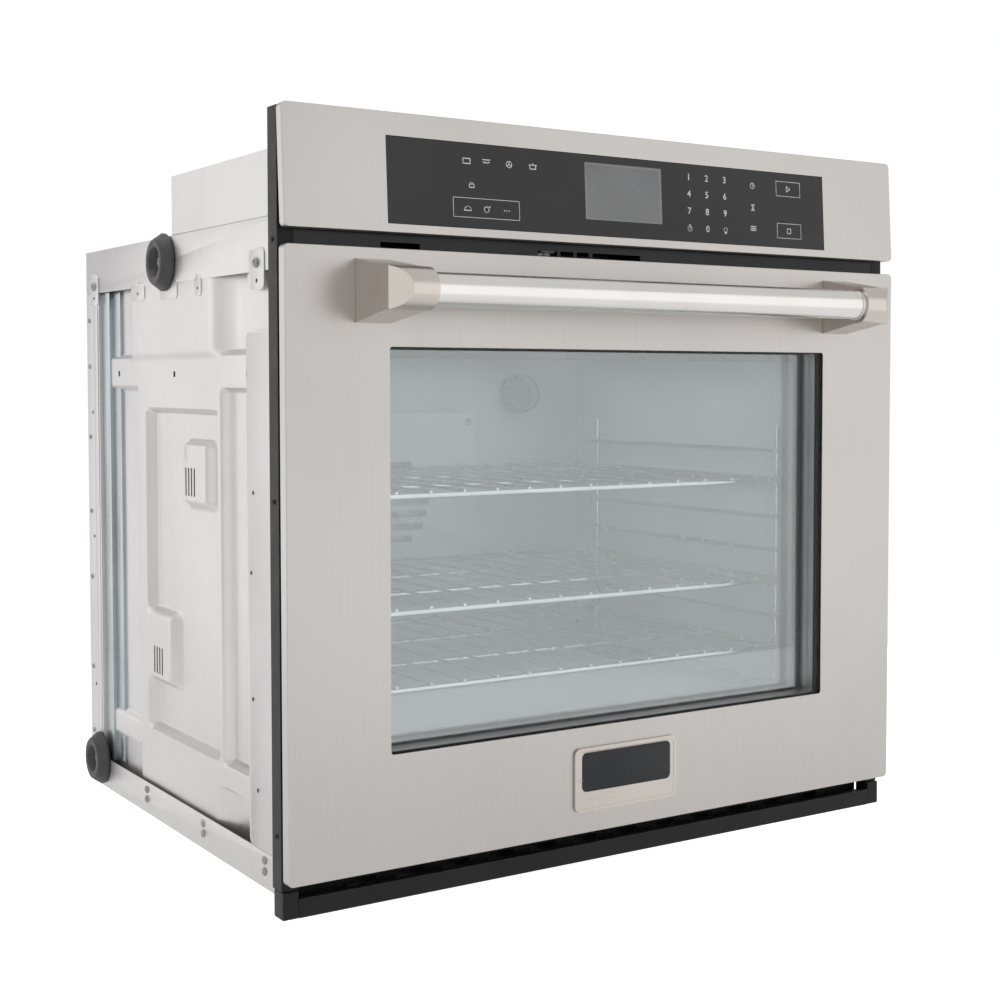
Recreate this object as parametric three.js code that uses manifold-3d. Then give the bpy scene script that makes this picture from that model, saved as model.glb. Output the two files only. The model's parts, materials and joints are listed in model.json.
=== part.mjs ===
// A built-in electric wall oven with a drop-down door, in millimetres.
// X runs to the right, Y to the back and Z up. The origin is the middle of the underside of
// the box that goes into the cabinet. The door, the control panel and the trims stand in front
// of the cabinet's face, and everything else is behind it.

import * as THREE from 'three';
import { mergeVertices } from 'three/addons/utils/BufferGeometryUtils.js';
import Module from 'manifold-3d';

const wasm = await Module();
wasm.setup();

// ---------- driving sizes ----------

const FRONT_W = 756; // width over the door and the control panel
const BODY_W = 720; // width of the box
const BODY_D = 580; // depth of the box behind the cabinet's face
const BODY_H = 642; // height of the box
const STAND_OFF = 37; // door's face in front of the cabinet's face
const DOOR_Z = 27; // bottom edge of the door above the box's underside
const DOOR_H = 584;
const VENT_GAP = 15; // air outlet between the door and the control panel
const PANEL_H = 112;
const PANEL_LEAN = 6.3; // how far the top of the control panel leans back

const SHEET = 1.2; // folded sheet steel
const GAP = 0.3; // air between pieces that touch
const SKIN_DEPTH = 12; // folded edge of the door's skin
const PANEL_DEPTH = 10; // folded edge of the control panel's skin
const CORNER_R = 5;

const WINDOW_W = 545;
const WINDOW_H = 383.7;
const WINDOW_Z = 109; // above the door's bottom edge
const WINDOW_R = 3;
const GLASS_T = 4;
const GLASS_LAP = 16; // outer glass behind the skin, each side
const TUNNEL_CLEAR = 1.5; // window tunnel outside the window's edge
const LIP = 12; // edge of the liner that holds the inner glass
const LINER_W = 700;
const LINER_EDGE = 8; // liner inside the door's top and bottom edges
const LINER_BACK = 44; // liner's back behind the door's face

const BAR_R = 15.65;
const BAR_OUT = 60; // bar's axis in front of the door's face
const BAR_Z = 543.7; // above the door's bottom edge
const NOSE_R = 20; // round end of a handle bracket
const BRACKET_FOOT = 29.5; // half its height on the door
const BRACKET_IN = 271.5; // inner side at the door, from the middle
const BRACKET_OUT = 308; // outer side at the door
const BRACKET_DRAFT = 8; // inner side slants in by this much
const BRACKET_CUT = [18, 15]; // slanted cut at the outer end: width, depth
const BAR_SOCKET = 12;

const BADGE_W = 130;
const BADGE_H = 66;
const BADGE_Z = 22; // above the door's bottom edge
const BADGE_T = 3;
const BADGE_R = 7;

const TRIM_W = 16;
const TRIM_INSET = 0.5; // trim inside the front's outer edge
const TRIM_DEPTH = 20;
const TRIM_T = 1.5;
const TRIM_DROP = 7; // bottom vent trim below the box's underside
const BLOCK_H = 25.5;
const BLOCK_DEPTH = 20;
const BLOCK_FRONT = 14; // behind the door's face
const VENT_FACE_H = 18;

const CONTROL_W = 547;
const CONTROL_H = 82;
const CONTROL_Z = 8; // above the panel's bottom edge
const CONTROL_T = 3;
const SCREEN_W = 96.5;
const SCREEN_H = 55;
const SCREEN_X = -2.75;
const SCREEN_Z = 24.5; // above the panel's bottom edge
const BOARD_T = 1.6;

const FRAME_FACE = 52; // front frame behind the door's face
const MULLION_FACE = 17; // mullion behind the door's face
const MULLION_UP = [5.5, 28]; // its underside below and its top above the door's top edge
const OUTLETS = [[-273, -231], [-97, -74], [-70, -54], [-50, -35], [-31, 30]]; // air slots over the door
const CAVITY_W = 616;
const CAVITY_H = 435;
const CAVITY_Z = 112; // cavity floor above the box's underside
const CAVITY_D = 491;
const LINER_T = 1.5;
const CAVITY_FLANGE = 18;
const GASKET_W = 10;
const GASKET_OUT = 4; // gasket outside the cavity's mouth
const BLANKET = 25; // insulation
const FLOOR_SPACE = 19; // room under the cavity floor for the element

const RACK_LEVEL = 136.2; // lowest rack position
const RACK_PITCH = 39.3;
const RACK_LEVELS = 8;
const RACK_PLACES = [1, 3, 6]; // positions of the lower, the middle and the top rack
const RACK_FRONT = 96; // rack's front bar behind the door's face
const RACK_D = 420;
const RACK_BAR = 6;
const RACK_WIRE = 3.2;
const RACK_WIRES = 14;
const RACK_SET = 1; // how far the wires sink into the bars they are welded to
const GUIDE_BAR = 5;
const GUIDE_STEP = 9; // rungs inside the guide's uprights
const RACK_SIDE = 3.5; // rack's side bars inside the guide's uprights

const PIVOT = [10, 6]; // hinge axis behind the door's face and above its bottom edge
const HINGE_X = 329; // middle of each hinge
const PIN_R = 3;
const PIN_PLAY = 0.12;
const EYE_R = 4.5;
const ARM_T = 5;
const CHANNEL_W = 22;
const CHANNEL_T = 2;
const CHANNEL_H = 230;
const ROD_R = 2.5;
const SPRING_R = 7;
const SPRING_WIRE = 2;
const SPRING_SPAN = [80, 196]; // above the door's bottom edge
const ROD_SPAN = [52, 206];

const LATCH_X = -78;
const LATCH_OUT = 34; // latch pivot behind the door's face
const LATCH_ARM = 22;
const LATCH_T = 3;
const LATCH_LIFT = 3; // hook above the door's top edge

const SWITCH_X = 300;
const SWITCH_Z = 590;
const PLUNGER_R = 3;

const ELEMENT_R = 3.5;
const ELEMENT_HOLE = 5.5;
const ELEMENT_SIDE = 60; // elements inside the cavity's side walls
const ELEMENT_END = 20; // ends behind the cavity
const BROIL_DROP = 22; // below the cavity's ceiling
const RING_ENDS = 14; // ends of the convection element from the middle
const FAN_Z = 330;
const FAN_R = 72;
const FAN_T = 12;
const FAN_SHAFT_R = 3;
const RING_R = 92; // convection element around the fan
const COVER_W = 260;
const COVER_H = 230;
const COVER_DEPTH = 22;
const MOTOR_R = 36;
const MOTOR_T = 30;

const HOUSING_H = 62.5;
const HOUSING_D = 290;
const BLOWER_R = 22;
const BLOWER_L = 200;
const BLOWER_Y = -110;
const BLOWER_WALL = 1.5;
const BLOWER_FOOT = 5;

const LAMP = [205, 470]; // across and up, on the cavity's back wall
const LAMP_R = 26;
const SOCKET_R = 17;

const BUMPER_FOOT = 31;
const BUMPER_NOSE = 23.3;
const BUMPER_H = 13;
const BUMPER_HOLLOW = 15;
const BUMPERS = [[348, 615], [578, 33.5]]; // behind the door's face, above the underside

const POCKET = 14; // depth of the pressings in the side panels
// Pressings as front, back, bottom and top: from the door's face and from the underside.
const POCKETS = [
  [130, 211, 103, 476], [236, 433, 104, 455], [451, 545, 104, 470],
  [124, 233, 38, 72], [451, 545, 38, 72], [140, 205, 514, 585], [478, 525, 514, 585],
];

// ---------- planes worked out from them ----------

const CABINET = -BODY_D / 2; // the cabinet's face
const FACE = CABINET - STAND_OFF; // the door's face
const BACK = BODY_D / 2;
const SIDE = BODY_W / 2;
const EDGE = FRONT_W / 2;
const DOOR_TOP = DOOR_Z + DOOR_H;
const PANEL_Z = DOOR_TOP + VENT_GAP;
const PANEL_TOP = PANEL_Z + PANEL_H;
const LEAN = Math.atan(PANEL_LEAN / PANEL_H);
const INSIDE = SIDE - SHEET - GAP; // room between the side panels
const WINDOW = [-WINDOW_W / 2, WINDOW_W / 2];
const WINDOW_UP = [DOOR_Z + WINDOW_Z, DOOR_Z + WINDOW_Z + WINDOW_H];
const CAVITY = [-CAVITY_W / 2, CAVITY_W / 2];
const CAVITY_UP = [CAVITY_Z, CAVITY_Z + CAVITY_H];
const CAVITY_FRONT = FACE + FRAME_FACE + SHEET + GAP;
const CAVITY_BACK = CAVITY_FRONT + CAVITY_D;
const BLANKET_UP = [CAVITY_UP[0] - LINER_T - FLOOR_SPACE - BLANKET, CAVITY_UP[1] + LINER_T + BLANKET];
const RACK_SIDE_X = CAVITY[1] - GUIDE_BAR - RACK_SIDE - RACK_BAR / 2;

// ---------- finishes ----------

function finish(color, roughness, metalness, opacity = 1) {
  return new THREE.MeshStandardMaterial({ color, roughness, metalness, opacity, transparent: opacity < 1 });
}

const STAINLESS = finish(0xc4bfbb, 0.35, 1);
const NICKEL = finish(0xd8d3ca, 0.25, 1);
const GALVANISED = finish(0xcfc9c8, 0.5, 0.9);
const ENAMEL = finish(0x2b2e33, 0.3, 0.1);
const BLACK = finish(0x1d1d1f, 0.45, 0.3);
const CLEAR = finish(0xa9b4b8, 0.05, 0, 0.35);
const SMOKED = finish(0x3c3d40, 0.08, 0.1);
const SCREEN = finish(0x787b80, 0.2, 0.1);
const CHROME = finish(0xdedede, 0.2, 1);
const BARE_STEEL = finish(0x8f9092, 0.45, 1);
const ELEMENT = finish(0x55524e, 0.6, 0.7);
const RUBBER = finish(0x2c2c2d, 0.85, 0);
const FIBRE = finish(0xd9d2b8, 0.95, 0);
const PLASTIC = finish(0xd6d4cc, 0.6, 0);

// ---------- solids ----------

function solid(geometry) {
  geometry.deleteAttribute('normal');
  geometry.deleteAttribute('uv');
  const merged = mergeVertices(geometry, 1e-4);
  return new wasm.Manifold(new wasm.Mesh({
    numProp: 3,
    vertProperties: new Float32Array(merged.attributes.position.array),
    triVerts: new Uint32Array(merged.index.array),
  }));
}

function block([x0, x1], [y0, y1], [z0, z1]) {
  const geometry = new THREE.BoxGeometry(x1 - x0, y1 - y0, z1 - z0);
  geometry.translate((x0 + x1) / 2, (y0 + y1) / 2, (z0 + z1) / 2);
  return solid(geometry);
}

function rod(axis, radius, [from, to], [u, v], sides = 24) {
  const geometry = new THREE.CylinderGeometry(radius, radius, to - from, sides);
  geometry.translate(0, (from + to) / 2, 0);
  if (axis === 'x') geometry.rotateZ(-Math.PI / 2).translate(0, u, v);
  if (axis === 'y') geometry.translate(u, 0, v);
  if (axis === 'z') geometry.rotateX(Math.PI / 2).translate(u, v, 0);
  return solid(geometry);
}

function outline(points) {
  return new THREE.Shape(points.map(([u, v]) => new THREE.Vector2(u, v)));
}

function roundedOutline([x0, x1], [z0, z1], r) {
  const shape = new THREE.Shape();
  shape.absarc(x1 - r, z0 + r, r, -Math.PI / 2, 0);
  shape.absarc(x1 - r, z1 - r, r, 0, Math.PI / 2);
  shape.absarc(x0 + r, z1 - r, r, Math.PI / 2, Math.PI);
  shape.absarc(x0 + r, z0 + r, r, Math.PI, 1.5 * Math.PI);
  return shape;
}

function extruded(shape, depth, curveSegments = 4) {
  return new THREE.ExtrudeGeometry(shape, { depth, bevelEnabled: false, curveSegments });
}

// An outline in X and Z, carried along Y.
function deep(shape, [y0, y1]) {
  return solid(extruded(shape, y1 - y0).rotateX(Math.PI / 2).translate(0, y1, 0));
}

// An outline in Y and Z, carried along X.
function across(shape, [x0, x1], curveSegments) {
  const turn = new THREE.Matrix4().makeBasis(
    new THREE.Vector3(0, 1, 0), new THREE.Vector3(0, 0, 1), new THREE.Vector3(1, 0, 0),
  );
  return solid(extruded(shape, x1 - x0, curveSegments).applyMatrix4(turn).translate(x0, 0, 0));
}

// An outline in X and Y, carried along Z.
function tall(shape, [z0, z1]) {
  return solid(extruded(shape, z1 - z0).translate(0, 0, z0));
}

function joined(bodies) {
  return bodies.reduce((sum, body) => sum.add(body));
}

function without(body, cuts) {
  return cuts.reduce((rest, cut) => rest.subtract(cut), body);
}

// The same range on the left or the right of the middle.
function sided(side, [near, far]) {
  return side > 0 ? [near, far] : [-far, -near];
}

function inset([low, high], by) {
  return [low + by, high - by];
}

function geometryOf(body) {
  const cut = body.getMesh();
  const geometry = new THREE.BufferGeometry();
  geometry.setAttribute('position', new THREE.BufferAttribute(new Float32Array(cut.vertProperties), 3));
  geometry.setIndex(new THREE.BufferAttribute(new Uint32Array(cut.triVerts), 1));
  geometry.computeVertexNormals();
  return geometry;
}

function place(parent, name, body, look, at = [0, 0, 0]) {
  const mesh = new THREE.Mesh(geometryOf(body), look);
  mesh.name = name;
  mesh.position.set(...at);
  parent.add(mesh);
}

const SIDES = [['left', -1], ['right', 1]];

// ---------- door ----------

// Folded sheet with the window and a slot under each hinge arm.
function doorSkin() {
  const up = [DOOR_Z, DOOR_TOP];
  const shell = deep(roundedOutline([-EDGE, EDGE], up, CORNER_R), [FACE, FACE + SKIN_DEPTH]);
  const hollow = deep(
    roundedOutline(inset([-EDGE, EDGE], SHEET), inset(up, SHEET), CORNER_R - SHEET),
    [FACE + SHEET, FACE + SKIN_DEPTH + 1],
  );
  const window = deep(roundedOutline(WINDOW, WINDOW_UP, WINDOW_R), [FACE - 1, FACE + SKIN_DEPTH]);
  const slots = SIDES.map(([, side]) => block(
    sided(side, [HINGE_X - ARM_T, HINGE_X + ARM_T]), [FACE + SHEET, FACE + SKIN_DEPTH + 1],
    [DOOR_Z - 1, DOOR_Z + SHEET + 1],
  ));
  return without(shell, [hollow, window, ...slots]);
}

const TUNNEL = inset(WINDOW, -TUNNEL_CLEAR);
const TUNNEL_UP = inset(WINDOW_UP, -TUNNEL_CLEAR);
const TUNNEL_FRONT = FACE + SHEET + 2 * GAP + GLASS_T;

function pane(x, up, front) {
  return block(x, [front, front + GLASS_T], up);
}

// A pan open to the front: back plate, outer wall and the tunnel round the window.
function doorLiner() {
  const wide = [-LINER_W / 2, LINER_W / 2];
  const high = inset([DOOR_Z, DOOR_TOP], LINER_EDGE);
  const front = FACE + SKIN_DEPTH + 2 * GAP;
  const back = FACE + LINER_BACK;
  const pan = block(wide, [front, back], high)
    .subtract(block(inset(wide, SHEET), [front - 1, back - SHEET], inset(high, SHEET)));
  const tunnel = block(inset(TUNNEL, -SHEET), [TUNNEL_FRONT, back], inset(TUNNEL_UP, -SHEET));
  const bore = block(TUNNEL, [TUNNEL_FRONT - 1, back - SHEET], TUNNEL_UP);
  const mouth = block(inset(TUNNEL, LIP), [front, back + 1], inset(TUNNEL_UP, LIP));
  const notches = SIDES.map(([, side]) => block(
    sided(side, [HINGE_X - CHANNEL_W / 2 - 2, HINGE_X + CHANNEL_W / 2 + 2]),
    [front - 1, FACE + 2 * PIVOT[0] + 1], [high[0] - 1, high[0] + 2 * SHEET],
  ));
  return without(pan.add(tunnel), [bore, mouth, ...notches]);
}

function handleBar() {
  const reach = BRACKET_IN - BRACKET_DRAFT + BAR_SOCKET - GAP;
  return rod('x', BAR_R, [-reach, reach], [FACE - BAR_OUT, DOOR_Z + BAR_Z], 32);
}

// A cast arm that narrows to a round nose, with the bar's socket in its inner side.
function handleBracket(side) {
  const nose = FACE - BAR_OUT;
  const tip = nose - NOSE_R;
  const height = DOOR_Z + BAR_Z;
  const foot = FACE - GAP;
  const plan = outline([
    [BRACKET_IN, foot], [BRACKET_IN - BRACKET_DRAFT, tip], [BRACKET_OUT - BRACKET_CUT[0], tip],
    [BRACKET_OUT, tip + BRACKET_CUT[1]], [BRACKET_OUT, foot],
  ].map(([x, y]) => [side * x, y]));
  const profile = new THREE.Shape();
  profile.moveTo(foot, height - BRACKET_FOOT);
  profile.lineTo(foot, height + BRACKET_FOOT);
  profile.absarc(nose, height, NOSE_R, 0.45 * Math.PI, 1.55 * Math.PI);
  const wide = sided(side, [BRACKET_IN - BRACKET_DRAFT - 1, BRACKET_OUT + 1]);
  const body = across(profile, wide, 16)
    .intersect(tall(plan, [height - 2 * BRACKET_FOOT, height + 2 * BRACKET_FOOT]));
  const end = BRACKET_IN - BRACKET_DRAFT + BAR_SOCKET;
  const socket = rod('x', BAR_R + GAP, sided(side, [0, end]), [nose, height], 32);
  return body.subtract(socket);
}

function badgePlate() {
  const x = [-BADGE_W / 2, BADGE_W / 2];
  const up = [DOOR_Z + BADGE_Z, DOOR_Z + BADGE_Z + BADGE_H];
  const rim = 4;
  const plate = deep(roundedOutline(x, up, BADGE_R), [FACE - GAP - BADGE_T, FACE - GAP]);
  const inlay = deep(
    roundedOutline(inset(x, rim), inset(up, rim), BADGE_R - rim + 1),
    [FACE - GAP - BADGE_T - 1, FACE - GAP - BADGE_T + 0.8],
  );
  return plate.subtract(inlay);
}

// ---------- hinges ----------

function hingeAxis() {
  return [FACE + PIVOT[0], DOOR_Z + PIVOT[1]];
}

// Two cheeks and a web, with the pin through the cheeks at the door's lower edge.
function hingeChannel(side) {
  const [y, z] = hingeAxis();
  const near = y + 2 * EYE_R;
  const back = FACE + LINER_BACK - SHEET - GAP;
  const cheek = outline([
    [y, z - EYE_R], [y + 3, z - 3.3], [near, z + EYE_R], [back, z + EYE_R],
    [back, DOOR_Z + CHANNEL_H], [near, DOOR_Z + CHANNEL_H], [near, z + 4 * EYE_R],
    [y - 3, z + EYE_R], [y - EYE_R, z],
  ]);
  const half = CHANNEL_W / 2;
  const cheeks = [
    across(cheek, sided(side, [HINGE_X - half, HINGE_X - half + CHANNEL_T])),
    across(cheek, sided(side, [HINGE_X + half - CHANNEL_T, HINGE_X + half])),
  ];
  const web = block(
    sided(side, [HINGE_X - half, HINGE_X + half]), [back - CHANNEL_T, back],
    [z + 2 * EYE_R, DOOR_Z + CHANNEL_H],
  );
  const stop = block(
    sided(side, [HINGE_X - half + 1, HINGE_X + half - 1]), [springY() - SPRING_R, back - 1],
    [DOOR_Z + SPRING_SPAN[0] - CHANNEL_T - GAP, DOOR_Z + SPRING_SPAN[0] - GAP],
  );
  const hole = rod('z', ROD_R + GAP, [z, DOOR_Z + CHANNEL_H], [side * HINGE_X, springY()], 16);
  const pin = rod('x', PIN_R, sided(side, [HINGE_X - half - 1, HINGE_X + half + 1]), [y, z]);
  return joined([...cheeks, web, stop.subtract(hole), pin]);
}

function springY() {
  return FACE + (SKIN_DEPTH + LINER_BACK) / 2 + 1;
}

// A plate from the pin back through the front frame, with a claw down behind it.
function hingeArm(side) {
  const [y, z] = hingeAxis();
  const frame = FACE + FRAME_FACE;
  const claw = frame + SHEET + 2 * GAP;
  const plate = across(outline([
    [y, z - EYE_R + 0.1], [frame - 1, z - EYE_R + 0.1], [claw, z - EYE_R + 0.1], [claw, z - 3 * EYE_R],
    [claw + 9, z - 3 * EYE_R], [claw + 9, z - GAP], [y, z - GAP],
  ]), sided(side, [HINGE_X - ARM_T / 2, HINGE_X + ARM_T / 2]));
  const eye = rod('x', EYE_R - 0.1, sided(side, [HINGE_X - ARM_T / 2, HINGE_X + ARM_T / 2]), [y, z]);
  const hole = rod('x', PIN_R + PIN_PLAY, sided(side, [HINGE_X - ARM_T, HINGE_X + ARM_T]), [y, z]);
  return plate.add(eye).subtract(hole);
}

// Rod with a washer that presses on the spring's top.
function hingeRod(side) {
  const at = [side * HINGE_X, springY()];
  const up = ROD_SPAN.map((z) => z + DOOR_Z);
  const washer = DOOR_Z + SPRING_SPAN[1] + GAP;
  return rod('z', ROD_R, up, at, 16).add(rod('z', SPRING_R, [washer, washer + 3], at, 16));
}

function hingeSpring(side) {
  const at = [side * HINGE_X, springY()];
  const up = SPRING_SPAN.map((z) => z + DOOR_Z);
  const bore = rod('z', SPRING_R - SPRING_WIRE, [up[0] - 1, up[1] + 1], at, 16);
  return rod('z', SPRING_R, up, at, 16).subtract(bore);
}

// ---------- control panel, in a frame of its own that leans back ----------

function panelSkin() {
  const high = PANEL_H / Math.cos(LEAN);
  const shell = deep(roundedOutline([-EDGE, EDGE], [0, high], CORNER_R), [0, PANEL_DEPTH]);
  const hollow = deep(
    roundedOutline(inset([-EDGE, EDGE], SHEET), inset([0, high], SHEET), CORNER_R - SHEET),
    [SHEET, PANEL_DEPTH + 1],
  );
  const opening = block([-CONTROL_W / 2, CONTROL_W / 2], [-1, PANEL_DEPTH], [CONTROL_Z, CONTROL_Z + CONTROL_H]);
  return without(shell, [hollow, opening]);
}

function controlGlass() {
  const x = inset([-CONTROL_W / 2, CONTROL_W / 2], GAP);
  return block(x, [GAP, GAP + CONTROL_T], inset([CONTROL_Z, CONTROL_Z + CONTROL_H], GAP));
}

// Circuit board behind the glass, with the screen standing on it.
function displayBoard() {
  const front = 2 * GAP + CONTROL_T;
  const screen = block(
    [SCREEN_X - SCREEN_W / 2, SCREEN_X + SCREEN_W / 2], [front, front + 5],
    [SCREEN_Z - 7, SCREEN_Z - 7 + SCREEN_H],
  );
  const board = block(
    inset([-CONTROL_W / 2, CONTROL_W / 2], 10), [front + 4, front + 4 + BOARD_T],
    inset([CONTROL_Z, CONTROL_Z + CONTROL_H], 4),
  );
  return screen.add(board);
}

// Shallow tray that closes the control compartment from behind.
function controlTray() {
  const x = [-EDGE + TRIM_W + 2, EDGE - TRIM_W - 2];
  const y = [FACE + STAND_OFF - 17, CABINET - GAP];
  const up = [DOOR_TOP + MULLION_UP[1] + GAP, PANEL_TOP - 3];
  return block(x, y, up).subtract(block(inset(x, SHEET), [y[0] - 1, y[1] - SHEET], inset(up, SHEET)));
}

// ---------- front trims ----------

function sideTrim(side) {
  const x = sided(side, [EDGE - TRIM_INSET - TRIM_W, EDGE - TRIM_INSET]);
  const y = [CABINET - TRIM_DEPTH, CABINET];
  const up = [BLOCK_H - TRIM_DROP + GAP, PANEL_TOP - 2];
  const hollow = block(
    side > 0 ? [x[0] - 1, x[1] - TRIM_T] : [x[0] + TRIM_T, x[1] + 1], inset(y, TRIM_T), inset(up, -1),
  );
  return block(x, y, up).subtract(hollow);
}

function endBlock(side) {
  const x = sided(side, [EDGE - TRIM_INSET - TRIM_W, EDGE - TRIM_INSET]);
  const front = FACE + BLOCK_FRONT;
  return block(x, [front, front + BLOCK_DEPTH], [-TRIM_DROP, BLOCK_H - TRIM_DROP]);
}

// Folded channel under the door: face with a lip, floor and a back with air slots.
function ventTrim() {
  const x = inset([-EDGE + TRIM_INSET + TRIM_W, EDGE - TRIM_INSET - TRIM_W], GAP);
  const front = FACE + BLOCK_FRONT;
  const back = CABINET - GAP;
  const top = VENT_FACE_H - TRIM_DROP;
  const profile = outline([
    [front, -TRIM_DROP], [back, -TRIM_DROP], [back, top + 7], [back - SHEET, top + 7],
    [back - SHEET, -TRIM_DROP + SHEET], [front + SHEET, -TRIM_DROP + SHEET],
    [front + SHEET, top - SHEET], [front + 8, top - SHEET], [front + 8, top], [front, top],
  ]);
  const slots = slotRow([-300, 300], 12, 30, [back - 2 * SHEET, back + 1], [top - 8, top + 2]);
  return without(across(profile, x), slots);
}

function slotRow([x0, x1], count, width, y, up) {
  const step = (x1 - x0 - width) / (count - 1);
  return Array.from({ length: count }, (_, i) => block([x0 + i * step, x0 + i * step + width], y, up));
}

// ---------- front frame, gasket, latch and switch ----------

function frontFrame() {
  const face = FACE + FRAME_FACE;
  const [front, back] = [CABINET + GAP, face + SHEET];
  const up = [SHEET + GAP, BODY_H - SHEET - GAP];
  const tray = tall(outline([
    [-INSIDE, front], [-INSIDE + SHEET, front], [-INSIDE + SHEET, face], [INSIDE - SHEET, face],
    [INSIDE - SHEET, front], [INSIDE, front], [INSIDE, back], [-INSIDE, back],
  ]), up);
  const through = [face - 1, back + 1];
  const hingeSlots = SIDES.map(([, side]) => block(
    sided(side, [HINGE_X - ARM_T, HINGE_X + ARM_T]), through,
    [hingeAxis()[1] - EYE_R - 2, hingeAxis()[1] + 2],
  ));
  const vents = slotRow([-260, 260], 8, 44, through, [BODY_H - 24, BODY_H - 16]);
  const latch = block([LATCH_X - 11, LATCH_X + 11], through, [latchUp()[0] - 1, latchUp()[1] + 5]);
  const plunger = rod('y', PLUNGER_R + GAP, through, [SWITCH_X, SWITCH_Z], 16);
  return without(tray.add(mullion()), [
    block(CAVITY, through, CAVITY_UP), ...hingeSlots, ...vents, latch, plunger,
  ]);
}

// Hollow bar between the side trims, with the air slots just over the door. Its ends and its
// back sink half a sheet into the frame.
function mullion() {
  const reach = EDGE - TRIM_INSET - TRIM_W - GAP;
  const inner = INSIDE - SHEET / 2;
  const step = CABINET - GAP;
  const [front, back] = [FACE + MULLION_FACE, FACE + FRAME_FACE + SHEET / 2];
  const up = [DOOR_TOP - MULLION_UP[0], DOOR_TOP + MULLION_UP[1]];
  const bar = tall(outline([
    [-reach, front], [reach, front], [reach, step], [inner, step],
    [inner, back], [-inner, back], [-inner, step], [-reach, step],
  ]), up);
  const hollow = block([-reach - 1, reach + 1], [front + SHEET, back + 1], inset(up, SHEET));
  const slots = OUTLETS.map((x) => block(x, [front - 1, front + 2 * SHEET], [DOOR_TOP + 0.5, DOOR_TOP + 7]));
  return without(bar, [hollow, ...slots]);
}

function doorGasket() {
  const y = [FACE + LINER_BACK + GAP, FACE + FRAME_FACE - GAP];
  const inner = [inset(CAVITY, -GASKET_OUT), inset(CAVITY_UP, -GASKET_OUT)];
  const outer = inner.map((span) => inset(span, -GASKET_W));
  return block(outer[0], y, outer[1]).subtract(block(inner[0], inset(y, -1), inner[1]));
}

function latchUp() {
  return [DOOR_TOP + LATCH_LIFT, DOOR_TOP + LATCH_LIFT + LATCH_T];
}

// A flat hook that lies along the door's top until it turns out over it.
function latchHook() {
  const y = FACE + LATCH_OUT;
  const arm = block([LATCH_X - LATCH_ARM, LATCH_X], [y - 3.5, y + 3.5], latchUp());
  const beak = block([LATCH_X - LATCH_ARM, LATCH_X - LATCH_ARM + 5], [y - 3.5, y + 8], latchUp());
  const eye = rod('z', 6, latchUp(), [LATCH_X, y]);
  return joined([arm, beak, eye]).subtract(rod('z', 2.5 + PIN_PLAY, inset(latchUp(), -1), [LATCH_X, y]));
}

// Motor behind the front frame, with a tongue through its slot that carries the hook's pin.
function latchMotor() {
  const y = FACE + LATCH_OUT;
  const frame = FACE + FRAME_FACE;
  const [low, high] = latchUp();
  const tongue = block([LATCH_X - 8, LATCH_X + 8], [y - 6, frame + 8], [high + GAP, high + GAP + 2]);
  const pin = rod('z', 2.5, [low - 0.8, high + 1], [LATCH_X, y]);
  const gearbox = block([LATCH_X - 25, LATCH_X + 25], [frame + 4, frame + 30], [high - 36, high + 4]);
  const motor = rod('z', 16, [high - 34, high + 18], [LATCH_X, frame + 42]);
  return joined([tongue, pin, gearbox, motor]);
}

function doorSwitch() {
  const y = FACE + FRAME_FACE + SHEET + GAP;
  const body = block([SWITCH_X - 9, SWITCH_X + 9], [y, y + 26], [SWITCH_Z - 7, SWITCH_Z + 7]);
  return body.subtract(rod('y', PLUNGER_R + GAP, [y - 1, y + 14], [SWITCH_X, SWITCH_Z], 16));
}

function switchPlunger() {
  const tip = FACE + LINER_BACK + GAP;
  return rod('y', PLUNGER_R, [tip, tip + 18], [SWITCH_X, SWITCH_Z], 16);
}

// ---------- box ----------

// Pressed sheet: every pressing is a shallow tray sunk into the flat panel.
function sidePanel(side) {
  const y = [CABINET + GAP, BACK];
  let body = block(sided(side, [SIDE - SHEET, SIDE]), y, [0, BODY_H]);
  for (const [front, back, low, high] of POCKETS) {
    const span = [FACE + front, FACE + back];
    body = body.add(block(sided(side, [SIDE - POCKET, SIDE]), span, [low, high]));
    body = body.subtract(block(
      sided(side, [SIDE - POCKET + SHEET, SIDE + 1]), inset(span, SHEET), inset([low, high], SHEET),
    ));
  }
  return body;
}

function rearPanel() {
  const y = [BACK - SHEET, BACK];
  const vents = slotRow([-250, 250], 9, 36, inset(y, -1), [60, 68]);
  const plate = block([-INSIDE, INSIDE], y, [SHEET + GAP, BODY_H - SHEET - GAP]);
  const hole = rod('y', 11, inset(y, -1), [250, 590]);
  return without(plate, [...vents, hole]);
}

// Floor with a turned-up edge along each side.
function basePan() {
  const y = [CABINET + GAP, BACK - SHEET - GAP];
  const floor = block([-INSIDE, INSIDE], y, [0, SHEET]);
  const edges = SIDES.map(([, side]) => block(
    sided(side, [INSIDE - SHEET, INSIDE]), [FACE + FRAME_FACE + SHEET + GAP, y[1]], [0, 16],
  ));
  const vents = slotRow([-280, 280], 10, 36, [80, 90], [-1, SHEET + 1]);
  return without(joined([floor, ...edges]), vents);
}

// Lid of the box, with the cooling blower's inlet.
function topCover() {
  const y = [CABINET + GAP, BACK - SHEET - GAP];
  const lid = block([-INSIDE, INSIDE], y, [BODY_H - SHEET, BODY_H]);
  const inlet = block([-80, 80], [BLOWER_Y - 8, BLOWER_Y + 8], [BODY_H - 5, BODY_H + 1]);
  return lid.subtract(inlet);
}

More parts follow.
